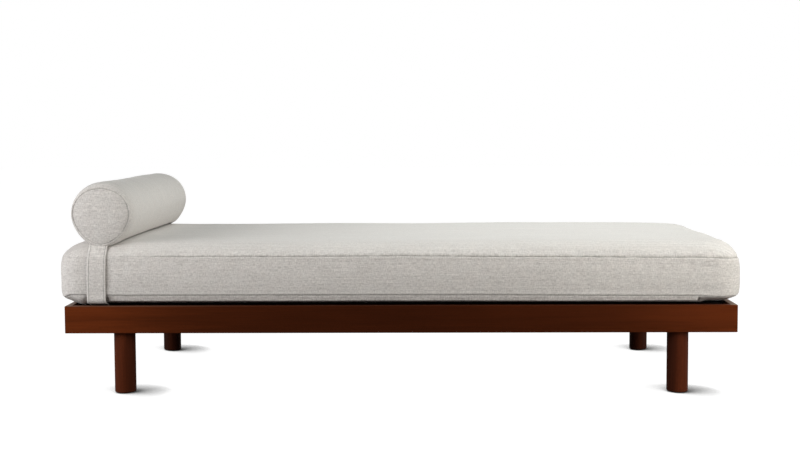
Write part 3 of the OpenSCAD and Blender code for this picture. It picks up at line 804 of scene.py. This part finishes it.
def settle(piece, form, voxel, spare, furthest):
    """Lets a remeshed copy of a padded piece swell as cloth, and moves the piece's points with it.

    The form says how firmly the filling holds the cloth at a place, from 0 to 1, and how taut it is;
    spare is the share of spare cloth where it is slack, and furthest the furthest that a point moves."""
    scene = bpy.context.scene
    frames = scene.divan_stage.quality
    copy = linked(piece.name + "_blank", piece.data.copy())
    remesh = copy.modifiers.new("remesh", "REMESH")
    remesh.mode = "VOXEL"
    remesh.voxel_size = voxel
    copy.data = bpy.data.meshes.new_from_object(copy.evaluated_get(bpy.context.evaluated_depsgraph_get()))
    copy.modifiers.clear()
    before = [vert.co.copy() for vert in copy.data.vertices]
    for name, weigh in (("hold", form.hold), ("taut", form.taut)):
        group = copy.vertex_groups.new(name=name)
        for index, spot in enumerate(before):
            group.add([index], weigh(spot), "REPLACE")
    cloth = copy.modifiers.new("cloth", "CLOTH")
    for name, value in CLOTH_RULES.items():
        setattr(cloth.settings, name, value)
    cloth.settings.shrink_min = -spare
    cloth.settings.shrink_max = 0
    cloth.settings.effector_weights.gravity = 0
    cloth.point_cache.frame_start = 1
    cloth.point_cache.frame_end = frames
    for step in range(1, frames + 1):
        scene.frame_set(step)
    settled = copy.evaluated_get(bpy.context.evaluated_depsgraph_get())
    tree = KDTree(len(before))
    moves = []
    for index, (spot, vert) in enumerate(zip(before, settled.to_mesh().vertices)):
        move = vert.co - spot
        moves.append(move * min(1.0, furthest / max(move.length, 1e-6)))
        tree.insert(spot, index)
    tree.balance()
    settled.to_mesh_clear()
    scene.frame_set(1)
    bpy.data.objects.remove(copy)
    for vert in piece.data.vertices:
        total, weight = Vector(), 0.0
        for _, index, distance in tree.find_n(vert.co, NEAREST):
            share = 1 / (distance + voxel / 4)
            total += moves[index] * share
            weight += share
        vert.co += total / weight * (1 - form.hold(vert.co))


# Operators


class DIVAN_OT_cloth(bpy.types.Operator):
    """Weave the linen that the mattress, the bolster and the strap are sewn from"""

    bl_idname = "divan.cloth"
    bl_label = "Weave the linen"

    def execute(self, context):
        linen_cloth(context.scene.divan_finish, "oatmeal_linen")
        linen_cloth(context.scene.divan_finish, "stitched_linen", hemmed=True)
        return {"FINISHED"}


class DIVAN_OT_timber(bpy.types.Operator):
    """Finish the rails, the legs and the inner timber"""

    bl_idname = "divan.timber"
    bl_label = "Finish the timber"

    def execute(self, context):
        finish = context.scene.divan_finish
        lengthwise, crosswise, upright = (0.0, 0.0, 0.0), (0.0, 0.0, QUARTER), (0.0, QUARTER, 0.0)
        long_rail = stained_timber(finish, "rail_timber_long", lengthwise)
        end_rail = stained_timber(finish, "rail_timber_end", crosswise)
        leg = stained_timber(finish, "leg_timber", upright, leg=True)
        long_way = plain_timber(finish, "plain_timber_long", lengthwise)
        cross_way = plain_timber(finish, "plain_timber_cross", crosswise)
        looks = {
            "front_rail": long_rail, "back_rail": long_rail, "left_rail": end_rail, "right_rail": end_rail}
        cross = "slat_", "corner_block"
        for name in frame["nodes"]:
            if name.startswith("leg_"):
                looks[name] = leg
            elif name != "slat_screws" and (name.startswith(cross) or name.endswith("_bearer")):
                looks[name] = cross_way
            elif name.endswith("_ledger"):
                looks[name] = long_way
        dress(looks)
        return {"FINISHED"}


class DIVAN_OT_hardware(bpy.types.Operator):
    """Finish the screws, bolts, inserts, brackets, glides and the zip's slider"""

    bl_idname = "divan.hardware"
    bl_label = "Finish the hardware"

    def execute(self, context):
        steel = brushed_metal("zinc_steel", (0.62, 0.62, 0.60))
        brass = brushed_metal("insert_brass", (0.72, 0.52, 0.24))
        nickel = brushed_metal("slider_nickel", (0.56, 0.54, 0.50), rough=0.24)
        glide = moulded_plastic("glide_plastic", (0.03, 0.024, 0.02))
        dress({name: steel for name in (
            "hanger_bolts", "ledger_screws", "slat_screws", "block_screws",
            "angle_brackets", "bracket_screws")})
        dress({"threaded_inserts": brass, "zip_slider": nickel, "zip_pull": nickel, "foot_glides": glide})
        return {"FINISHED"}


# How far the black cloth dips between two slats, and its squares along and across
DECK_DIP = 0.0016
DECK_GRID = 196, 44


class DIVAN_OT_deck(bpy.types.Operator):
    """Lay the black cloth on the slats"""

    bl_idname = "divan.deck"
    bl_label = "Lay the deck cloth"

    def execute(self, context):
        low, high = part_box("deck_cloth")
        size = high - low
        bm = grid(*DECK_GRID)
        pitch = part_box("slat_2")[0].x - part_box("slat_1")[0].x
        first = middle("slat_1", 0)
        for vert in bm.verts:
            x, y = vert.co.x * size.x, vert.co.y * size.y
            between = 0.5 - 0.5 * math.cos(TURN * (x - first) / pitch)
            inside = eased(size.y / 2 - abs(y), 0.0, 0.04) * eased(size.x / 2 - abs(x), 0.0, 0.04)
            dip = DECK_DIP * between ** 2 * inside * (1 + 0.5 * wave((x, y, 0), 9, 3))
            vert.co = Vector((x, y, high.z - dip))
        bmesh.ops.solidify(bm, geom=bm.faces[:], thickness=size.z)
        recalc(bm)
        deck_felt("deck_felt")
        piece = as_object("deck_sheet", bm, "frame", "deck_cloth", "deck_felt")
        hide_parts("deck_cloth")
        return {"FINISHED"}


class DIVAN_OT_mattress(bpy.types.Operator):
    """Sew and fill the boxed mattress"""

    bl_idname = "divan.mattress"
    bl_label = "Make the mattress"

    def execute(self, context):
        form = MattressForm(context.scene.divan_mattress)
        bm, layers = sewn_shell(*MATTRESS_GRID, form.rings, False)
        seam_shading_layer = bm.verts.layers.float.new("seam")
        calm_layer = bm.verts.layers.float.new("calm")
        runs = [INNER_RUN] + TOP_RUNS
        for vert in bm.verts:
            u, v, ring = (vert[layer] for layer in layers)
            vert.co = form.at(u, v, ring)
            # The seam attribute carries the painted shade and painted highlights of the seams
            vert[seam_shading_layer] = form.seam(u, v, ring)
            if ring < form.crease_high:
                vert[calm_layer] = eased(runs[ring], 0.0, 0.022)
        recalc(bm)
        lay_mattress_cloth(bm, layers, form)
        # From this ring in, the underside gets the black felt: a base cloth that also stands in for the shade
        # between the mattress and the rail
        base = form.crease_low + 1 + BASE_RING
        for face in bm.faces:
            if min(vert[layers[2]] for vert in face.verts) >= base:
                face.material_index = 1
        piece = as_object("mattress", bm, "mattress", "linen", "oatmeal_linen", "deck_felt")
        settle(piece, form, voxel=0.011, spare=0.009, furthest=0.005)
        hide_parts("mattress_cover", "mattress_core")
        return {"FINISHED"}


# How far the zip's flap hangs, and how far in and down it goes for each metre of that
FLAP_FALL = 0.0180
FLAP_IN, FLAP_DOWN = 0.42, 0.9
# How much longer than the CAD's placket the flap is, at its left end, how thick, and its squares
FLAP_MORE = 0.010
FLAP_THICK = 0.0010
FLAP_GRID = 290, 6
# Where the flap's upper edge is sewn on: in from the mattress's side and down from the lower seam
SEWN_IN, SEWN_DOWN = 0.0030, 0.0022
# How far the zip's tape is drawn in at its right end
TAPE_DRAWN = 0.009


class DIVAN_OT_zip(bpy.types.Operator):
    """Sew in the zip and the flap that hides it"""

    bl_idname = "divan.zip"
    bl_label = "Make the zip"

    def flap(self, form):
        low, high = PLACKET
        width, length = FLAP_FALL * math.hypot(FLAP_IN, FLAP_DOWN), high.x - low.x + FLAP_MORE
        bm = grid(*FLAP_GRID)
        for vert in bm.verts:
            x = (low.x + high.x) / 2 - FLAP_MORE / 2 + vert.co.x * length
            fall = (vert.co.y + 0.5) * FLAP_FALL * (1 - 0.2 * eased(x, 0.3, 0.8))
            x -= (0.003 + 0.25 * fall) * eased(x, high.x - 0.05, high.x)
            ripple = speck(x * 9, fall * 60, 4) * fall * 0.06
            y = -(form.half_y - SEWN_IN - FLAP_IN * fall)
            vert.co = Vector((x, y - ripple, form.seam_low(x) - SEWN_DOWN - FLAP_DOWN * fall))
        recalc(bm)
        lay_cloth(bm, lambda co: (co.x + FLAP_SHIFT, co.y))
        bmesh.ops.solidify(bm, geom=bm.faces[:], thickness=FLAP_THICK)
        piece = as_object("placket_flap", bm, "mattress", "linen", "oatmeal_linen")
        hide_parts("zip_placket")

    def tape(self):
        low, high = ZIP
        woven_tape("zip_weave", (0.36, 0.33, 0.28), (0.56, 0.53, 0.47), 0.0009)
        bm = node_shell("mattress_zip")
        for vert in bm.verts:
            vert.co.x -= TAPE_DRAWN * eased(vert.co.x, high.x - 0.01, high.x)
        lay_cloth(bm, lambda co: (co.x, co.y))
        piece = as_object("zip_tape", bm, "mattress", "zip_tape", "zip_weave")
        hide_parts("mattress_zip")

    def execute(self, context):
        self.flap(MattressForm(context.scene.divan_mattress))
        self.tape()
        return {"FINISHED"}


# Steps of the bolster's outline where it rounds over to a cap, and between the two
ROLL_STEPS, BODY_STEPS = 18, 118
# How full a cap is, and how far above the mattress the bolster starts to flatten
CAP_RISE = 0.009
PRESSED_BAND = 0.008
# Squares along each side of a cap's grid
CAP_SQUARES = 44
# Room between the mattress and what slides over it
BOLSTER_ROOM, STRAP_ROOM = 0.0010, 0.0008


class BolsterForm:
    """Where each point of the bolster's cover lies on the finished mattress"""

    middle = Vector((-0.880, -0.003, 0.5392))
    spin = Matrix.Rotation(math.radians(-1.35), 3, "Z") @ Matrix.Rotation(math.radians(0.1), 3, "X")

    def __init__(self, sizes, mattress):
        self.sizes = sizes
        self.bed = BVHTree.FromObject(mattress, bpy.context.evaluated_depsgraph_get())
        self.stations = self.outline()
        self.rings = len(self.stations) - 1

    def outline(self):
        """Along and radius of each ring, from the near cap's seam to the far one"""
        sizes = self.sizes
        body, end = sizes.half_length - sizes.roll, sizes.radius + sizes.swell
        near = []
        for step in range(ROLL_STEPS + 1):
            bend = math.pi / 2 * (step / ROLL_STEPS) ** 1.25
            along = sizes.half_length - sizes.roll * (1 - math.cos(bend))
            near.append((-along, sizes.cap + (end - sizes.cap) * math.sin(bend)))
        between = []
        for step in range(1, BODY_STEPS):
            share = 2 * step / BODY_STEPS - 1
            full = share * share * (1 - 0.5 * eased(share, 0, 1))
            between.append((share * body, sizes.radius + sizes.swell * full))
        return near + between + [(-along, radius) for along, radius in reversed(near)]

    def floor(self, spot):
        """Height that clears the mattress below a place, wherever the bolster stops"""
        if spot.z > CLEAR:
            return 0.0
        down = Vector((0, 0, -1))
        hits = [self.bed.ray_cast(Vector((spot.x + stop, spot.y, 0.7)), down)[0] for stop in STOPS]
        return max((hit.z + BOLSTER_ROOM for hit in hits if hit), default=0.0)

    def away(self, spot):
        """Distance from a place to the nearer cap's seam"""
        local = self.spin.transposed() @ (spot - self.middle)
        radius = math.hypot(local.x, local.z)
        return math.hypot(abs(local.y) - self.sizes.half_length, radius - self.sizes.cap)

    def hold(self, spot):
        """How firmly a place is held: by a seam, the mattress or the filling"""
        pressed = eased(spot.z - self.floor(spot), 0.012, 0.006)
        return max(0.12, pressed, eased(self.away(spot), 0.013, 0.006))

    def taut(self, spot):
        return eased(self.away(spot), 0.01, 0.06)

    def slack(self, along, bend):
        """How far the cloth lies inside the round: on the lower flanks, and on top of the far end"""
        under = max(0.0, -math.cos(bend)) * abs(math.sin(bend)) * 2
        far = bell(along - 0.36, 0.09) * max(0.0, math.cos(bend)) ** 2
        return 0.0042 * under + 0.0045 * far

    def lay(self, along, bend, radius):
        """A place from its length along the axis, its angle from the top and its radius"""
        hang = 0.5 - 0.5 * math.cos(bend)
        end = eased(radius, self.sizes.radius, self.sizes.cap)
        wide, tall = 1 - 0.05 * hang + 0.036 * end, 1 + 0.07 * hang ** 3 - 0.03 * end
        local = Vector((radius * math.sin(bend) * wide, along, radius * math.cos(bend) * tall))
        return self.middle + self.spin @ local

    def round(self, u, v):
        """A place on the square laid on a disc"""
        return u * math.sqrt(1 - v * v / 2), v * math.sqrt(1 - u * u / 2)

    def at(self, u, v, ring):
        """Place of a point, the shade painted on it in the cap's seam and where it presses on the mattress,
        and how calm its weave
        """
        sizes = self.sizes
        x, z = self.round(u, v)
        reach = min(1.0, math.hypot(x, z))
        bend = math.atan2(x, z)
        body = 0 < ring <= self.rings or reach > 0.9999
        if body:
            along, radius = self.stations[min(ring, self.rings)]
        else:
            end = -1 if ring == 0 else 1
            along = end * (sizes.half_length + CAP_RISE * (1 - reach ** 2))
            radius = sizes.cap * reach
        away = min(abs(abs(along) - sizes.half_length) + abs(radius - sizes.cap), 1)
        spot = (bend * 0.1, along, 0)
        tuck = 0.0022 * bell(away, 0.0018, 1.3) - 0.0005 * bell(away - 0.005, 0.003)
        tuck += 0.0006 * speck(bend * 9, along * 3, 2) * math.exp(-away / 0.015)
        soft = 0.0011 * wave(spot, 6, 8) + 0.0006 * wave(spot, 17, 2)
        uneven = 0.8 + 0.4 * speck(bend * 5, 0, along)
        # Painted shade in the cap's seam, less a painted highlight on the body's ridge just outside it
        seam = 0.62 * uneven * bell(away, 0.0013) - 0.35 * (bell(away - 0.0048, 0.0018) * body)
        calm = eased(radius, sizes.cap, sizes.radius) * body
        radius += (soft - tuck * 0.6) * body
        radius -= self.slack(along, bend) * reach
        along -= math.copysign(tuck * 0.8, along)
        place = self.lay(along, bend, radius)
        floor = self.floor(place)
        pressed = min(1.0, max(0.0, 1 - (place.z - floor) / PRESSED_BAND))
        place.x -= math.copysign(0.006 * pressed, place.x - self.middle.x)
        place.z = max(place.z, floor)
        # Painted contact shadow where the bolster is pressed onto the mattress
        return place, max(seam, eased(pressed, 0.6, 0.98)), calm


def lay_bolster_cloth(bm, layers, uv, form):
    """Lays the weave flat on the caps and rolls it round the body"""
    u_layer, v_layer, ring_layer = layers
    for face in bm.faces:
        marks = [vert[ring_layer] for vert in face.verts]
        cap = max(marks) == 0 or max(marks) > form.rings and min(marks) >= form.rings
        bends = [math.atan2(*form.round(vert[u_layer], vert[v_layer])) for vert in face.verts]
        if max(bends) - min(bends) > math.pi:
            bends = [bend + TURN if bend < 0 else bend for bend in bends]
        for loop, bend in zip(face.loops, bends):
            co = loop.vert.co
            rolled = bend * form.sizes.radius + BOLSTER_SHIFT, co.y
            loop[uv].uv = (co.x + CAP_SHIFT, co.z) if cap else rolled


class DIVAN_OT_bolster(bpy.types.Operator):
    """Sew and fill the bolster"""

    bl_idname = "divan.bolster"
    bl_label = "Make the bolster"

    def execute(self, context):
        form = BolsterForm(context.scene.divan_bolster, bpy.data.objects["mattress"])
        bm, layers = sewn_shell(CAP_SQUARES, CAP_SQUARES, form.rings, True)
        uv = bm.loops.layers.uv.new(UV_NAME)
        seam_shading_layer = bm.verts.layers.float.new("seam")
        calm_layer = bm.verts.layers.float.new("calm")
        for vert in bm.verts:
            vert.co, vert[seam_shading_layer], vert[calm_layer] = form.at(*(vert[layer] for layer in layers))
        bmesh.ops.remove_doubles(bm, verts=bm.verts[:], dist=MERGE)
        recalc(bm)
        lay_bolster_cloth(bm, layers, uv, form)
        piece = as_object("bolster", bm, "bolster", "linen", "oatmeal_linen")
        settle(piece, form, voxel=0.007, spare=0.012, furthest=0.004)
        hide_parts("bolster_cover", "bolster_core")
        return {"FINISHED"}


# The strap's turn under the mattress: Y and Z of its inner face, from its inner end
UNDER_STRAP = (
    (-0.4000, 0.2670), (-0.4075, 0.2695), (-0.4150, 0.2727), (-0.4230, 0.2755), (-0.4300, 0.2774),
    (-0.4360, 0.2783), (-0.4410, 0.2790), (-0.4455, 0.2803), (-0.4490, 0.2833), (-0.4512, 0.2880),
    (-0.4520, 0.2935))
# Steps up the boxing and over the shoulder, the heights between which the strap climbs, its place on the
# boxing and how far it stands off there, and the place of its root at the cap's seam
CLIMB_STEPS, LEAN_STEPS = 24, 12
CLIMB_LOW, CLIMB_HIGH = 0.2998, 0.4150
CLIMB_Y, CLIMB_OFF = -0.452, 0.003
STRAP_ROOT = (-0.4225, 0.4505)
# How far out the rays start that measure the strap's clearance, and where they lie across its width
RAY = 0.03
RAY_SHARES = (-1.05, -0.5, 0, 0.5, 1.05)
# How far left of the CAD's strap the sewn one lies, how thick its cloth is, and its squares across
STRAP_LEFT = 0.0015
STRAP_CLOTH = 0.0018
STRAP_SQUARES = 26


def ways_along(spots):
    """Direction of a line of places at each of them"""
    last = len(spots) - 1
    return [(spots[min(i + 1, last)] - spots[max(i - 1, 0)]).normalized() for i in range(last + 1)]


class DIVAN_OT_strap(bpy.types.Operator):
    """Sew the bolster's strap and the webbing under the mattress"""

    bl_idname = "divan.strap"
    bl_label = "Make the strap"

    def outline(self):
        """Y and Z of the strap's inner face, from its tuck to the cap's seam, before it is pushed out"""
        spots = [Vector(spot) for spot in UNDER_STRAP]
        for step in range(1, CLIMB_STEPS):
            share = step / CLIMB_STEPS
            height = CLIMB_LOW + (CLIMB_HIGH - CLIMB_LOW) * share
            spots.append(Vector((CLIMB_Y - CLIMB_OFF * math.sin(math.pi * share), height)))
        last, root = spots[-1], Vector(STRAP_ROOT)
        return spots + [last.lerp(root, step / LEAN_STEPS) for step in range(1, LEAN_STEPS + 1)]

    def path(self, side, middle_x, half):
        """The outline, pushed clear of what the strap slides over"""
        outline = self.outline()
        ways = ways_along(outline)
        trees = [
            BVHTree.FromObject(bpy.data.objects[name], bpy.context.evaluated_depsgraph_get())
            for name in ("mattress", "placket_flap")]
        pushes = []
        for spot, way in zip(outline, ways):
            out = Vector((0, way.y * side, way.x))
            starts = [
                Vector((middle_x + share * half + stop, -spot.x * side, spot.y)) + out * RAY
                for stop in STOPS for share in RAY_SHARES]
            found = [tree.ray_cast(start, -out, RAY)[3] for start in starts for tree in trees]
            pushes.append(max((RAY - distance for distance in found if distance is not None), default=0.0))
        widest = [max(pushes[max(0, i - 1):i + 2]) for i in range(len(pushes))]
        moved = []
        for i, (spot, way) in enumerate(zip(outline, ways)):
            near = widest[max(0, i - 2):i + 3]
            push = STRAP_ROOM + max(sum(near) / len(near), pushes[i])
            moved.append(spot + push * Vector((-way.y, way.x)))
        return moved

    def half_strap(self, sizes, side, name):
        middle_x, half = STRAP_X - STRAP_LEFT, sizes.strap_width / 2
        spots = self.path(side, middle_x, half)
        ways = ways_along(spots)
        bm = grid(STRAP_SQUARES, len(spots) - 1)
        edge_layer = bm.verts.layers.float.new("edge")
        seam_shading_layer = bm.verts.layers.float.new("seam")
        for vert in bm.verts:
            row = round((vert.co.y + 0.5) * (len(spots) - 1))
            spot, way = spots[row], ways[row]
            # Painted shade where the strap turns under the mattress
            vert[seam_shading_layer] = eased(spot.x, -0.444, -0.424) * eased(spot.y, 0.3, 0.29)
            offset = vert.co.x * 2 * half
            edge = half - abs(offset)
            vert[edge_layer] = edge
            lift = sizes.strap_thickness - 0.0007 * bell(edge - HEM_LINE, 0.0013)
            lift -= 0.0012 * math.exp(-edge / 0.0012)
            lift += 0.0003 * speck(offset * 30, row * 0.4, side)
            flat = spot + Vector((-way.y, way.x)) * lift
            lean = 0.0030 * (flat.y - 0.32) / 0.15
            vert.co = Vector((middle_x + lean + offset, flat.x if side < 0 else -flat.x, flat.y))
        lay_cloth(bm, lambda co: (co.x + STRAP_SHIFT, co.z + abs(co.y) * 0.7))
        recalc(bm)
        if sum(face.normal.y * side for face in bm.faces) < 0:
            bmesh.ops.reverse_faces(bm, faces=bm.faces[:])
        bmesh.ops.solidify(bm, geom=bm.faces[:], thickness=STRAP_CLOTH)
        piece = as_object(name, bm, "bolster", "linen", "stitched_linen")
        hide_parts("bolster_strap")

    def webbing(self):
        bm = node_shell("strap_webbing")
        lay_cloth(bm, lambda co: (co.y, co.x))
        woven_tape("black_webbing", (0.05, 0.048, 0.045), (0.12, 0.115, 0.11), 0.0016, 0.7)
        piece = as_object("elastic_webbing", bm, "bolster", "webbing", "black_webbing")
        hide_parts("strap_webbing")

    def execute(self, context):
        for side, name in ((-1, "strap_front"), (1, "strap_back")):
            self.half_strap(context.scene.divan_bolster, side, name)
        self.webbing()
        return {"FINISHED"}


# Lamps: name, place, what they point at, size, power in watts, colour, spread in degrees
LAMPS = (
    ("lamp_top", (0.3, 0.2, 2.4), (0.3, 0, 0.4), (1.8, 1.8), 5, (0.95, 1, 0.985), 80),
    ("lamp_top_right", (1.5, 0.4, 2.4), (0.9, 0, 0.4), (1.8, 1.8), 26, (0.95, 1, 0.985), 180),
    ("lamp_back", (0.0, 3.6, 2.4), (0, 0, 0.4), (2.4, 1.6), 5, (0.94, 1, 1), 180),
    ("lamp_behind", (0.0, 4.2, 0.7), (0, 0, 0.3), (3.0, 0.8), 26, (1, 1, 1), 180),
    ("lamp_side_left", (-3.0, -1.6, 1.2), (-0.6, 0, 0.3), (1.4, 1.4), 50, (1, 1, 1), 180),
    ("lamp_side_right", (3.2, -1.6, 1.2), (0.7, 0, 0.3), (1.4, 1.4), 43, (1, 0.985, 0.93), 180),
    ("lamp_front_left", (-2.8, -3.6, 1.9), (-0.4, 0, 0.3), (1.4, 1.6), 37, (1, 0.965, 0.945), 180),
    ("lamp_front_right", (3.2, -3.4, 1.9), (0.6, 0, 0.3), (1.4, 1.6), 54, (1, 0.95, 0.87), 180),
    ("lamp_right_end", (1.7, -4.0, 1.0), (0.98, -0.45, 0.36), (0.6, 0.6), 0.22, (1, 0.98, 0.94), 22),
)


class DIVAN_OT_stage(bpy.types.Operator):
    """Set the floor, the lamps and the camera"""

    bl_idname = "divan.stage"
    bl_label = "Set the stage"

    def floor(self, stage):
        """A white floor whose glow is darkened into the legs' shadows by a leaning occlusion test, and which
        lights the divan as a grey one would
        """
        bm = grid(1, 1, stage.floor_size / 2)
        mesh = bpy.data.meshes.new("studio_floor")
        bm.to_mesh(mesh)
        bm.free()
        piece = linked("studio_floor", mesh)
        shade = Shade("studio_white")
        seen = shade.node("ShaderNodeLightPath", out="Is Camera Ray")
        # Painted shadows of the legs: an occlusion test leaning toward the front left darkens the glow that
        # the camera sees
        inputs = {"Distance": 0.11, "Normal": shade.join(-0.66, -0.64, 0.40)}
        unshadowed = shade.node("ShaderNodeAmbientOcclusion", inputs, "AO", samples=8) ** 4.2
        paint, faint = (
            shade.node("ShaderNodeBsdfDiffuse", {"Color": (grey, grey, grey, 1)}) for grey in (0.22, 0.1))
        glow = shade.node("ShaderNodeEmission", {"Color": shade.join(unshadowed, unshadowed, unshadowed), "Strength": 1.0})
        bright = shade.node("ShaderNodeAddShader", {0: faint, 1: glow})
        shade.finish(shade.node("ShaderNodeMixShader", {0: seen, 1: paint, 2: bright}))
        mesh.materials.append(shade.material)

    def lamp(self, name, place, target, size, power, tone, spread):
        data = bpy.data.lights.new(name, "AREA")
        data.spread = math.radians(spread)
        data.shape = "RECTANGLE"
        data.size, data.size_y = size
        data.energy = power
        data.color = tone
        lamp = linked(name, data)
        lamp.location = place
        lamp.rotation_euler = (Vector(target) - Vector(place)).to_track_quat("-Z", "Y").to_euler()

    def camera(self, stage):
        data = bpy.data.cameras.new("studio_camera")
        data.lens = stage.lens
        data.sensor_width = 36
        data.shift_y = stage.shift
        data.clip_end = 100
        yaw, pitch, roll = stage.yaw, stage.pitch, stage.roll
        ahead = Vector((math.sin(yaw) * math.cos(pitch), math.cos(yaw) * math.cos(pitch), -math.sin(pitch)))
        right = Vector((math.cos(yaw), -math.sin(yaw), 0))
        down = ahead.cross(right)
        right_turned = math.cos(roll) * right + math.sin(roll) * down
        down_turned = math.cos(roll) * down - math.sin(roll) * right
        columns = Matrix((right_turned, -down_turned, -ahead)).transposed()
        camera = linked("studio_camera", data)
        camera.matrix_world = Matrix.Translation(stage.camera_place) @ columns.to_4x4()
        bpy.context.scene.camera = camera

    def world(self):
        """White where the camera sees it, directly or in a reflection, and faint as a light"""
        world = bpy.data.worlds.new("studio")
        world.use_nodes = True
        shade = Shade("studio", world.node_tree)
        camera = shade.node("ShaderNodeLightPath", out="Is Camera Ray")
        paths = camera.socket.node.outputs
        seen = camera + Wire(shade, paths["Is Glossy Ray"]) + Wire(shade, paths["Is Transmission Ray"])
        dim = shade.node("ShaderNodeBackground", {"Color": (0.93, 0.96, 1.0, 1), "Strength": 0.06})
        white = shade.node("ShaderNodeBackground", {"Color": (1, 1, 1, 1), "Strength": 1.0})
        shade.finish(shade.node("ShaderNodeMixShader", {0: seen, 1: dim, 2: white}), "ShaderNodeOutputWorld")
        bpy.context.scene.world = world

    def execute(self, context):
        stage = context.scene.divan_stage
        self.floor(stage)
        self.world()
        for lamp in LAMPS:
            self.lamp(*lamp)
        self.camera(stage)
        context.scene.view_settings.view_transform = "Standard"
        return {"FINISHED"}


class DIVAN_PT_panel(bpy.types.Panel):
    """Lists the steps and settings of the divan"""

    bl_idname = "DIVAN_PT_panel"
    bl_label = "Divan"
    bl_space_type = "VIEW_3D"
    bl_region_type = "UI"
    bl_category = "Divan"

    def draw(self, context):
        for operator in STEPS:
            self.layout.operator(operator.bl_idname)
        for name in GROUPS:
            box = self.layout.box()
            group = getattr(context.scene, name)
            for prop in group.bl_rna.properties:
                if prop.identifier not in ("rna_type", "name"):
                    box.prop(group, prop.identifier)


GROUPS = {
    "divan_mattress": DivanMattress,
    "divan_bolster": DivanBolster,
    "divan_finish": DivanFinish,
    "divan_stage": DivanStage,
}
STEPS = (
    DIVAN_OT_cloth,
    DIVAN_OT_timber,
    DIVAN_OT_hardware,
    DIVAN_OT_deck,
    DIVAN_OT_mattress,
    DIVAN_OT_zip,
    DIVAN_OT_bolster,
    DIVAN_OT_strap,
    DIVAN_OT_stage,
)
CLASSES = (*GROUPS.values(), *STEPS, DIVAN_PT_panel)


def register():
    for cls in CLASSES:
        bpy.utils.register_class(cls)
    for name, group in GROUPS.items():
        setattr(bpy.types.Scene, name, PointerProperty(type=group))


def unregister():
    for name in GROUPS:
        delattr(bpy.types.Scene, name)
    for cls in reversed(CLASSES):
        bpy.utils.unregister_class(cls)


def main():
    register()
    for operator in STEPS:
        group, name = operator.bl_idname.split(".")
        getattr(getattr(bpy.ops, group), name)()


if __name__ == "__main__":
    main()
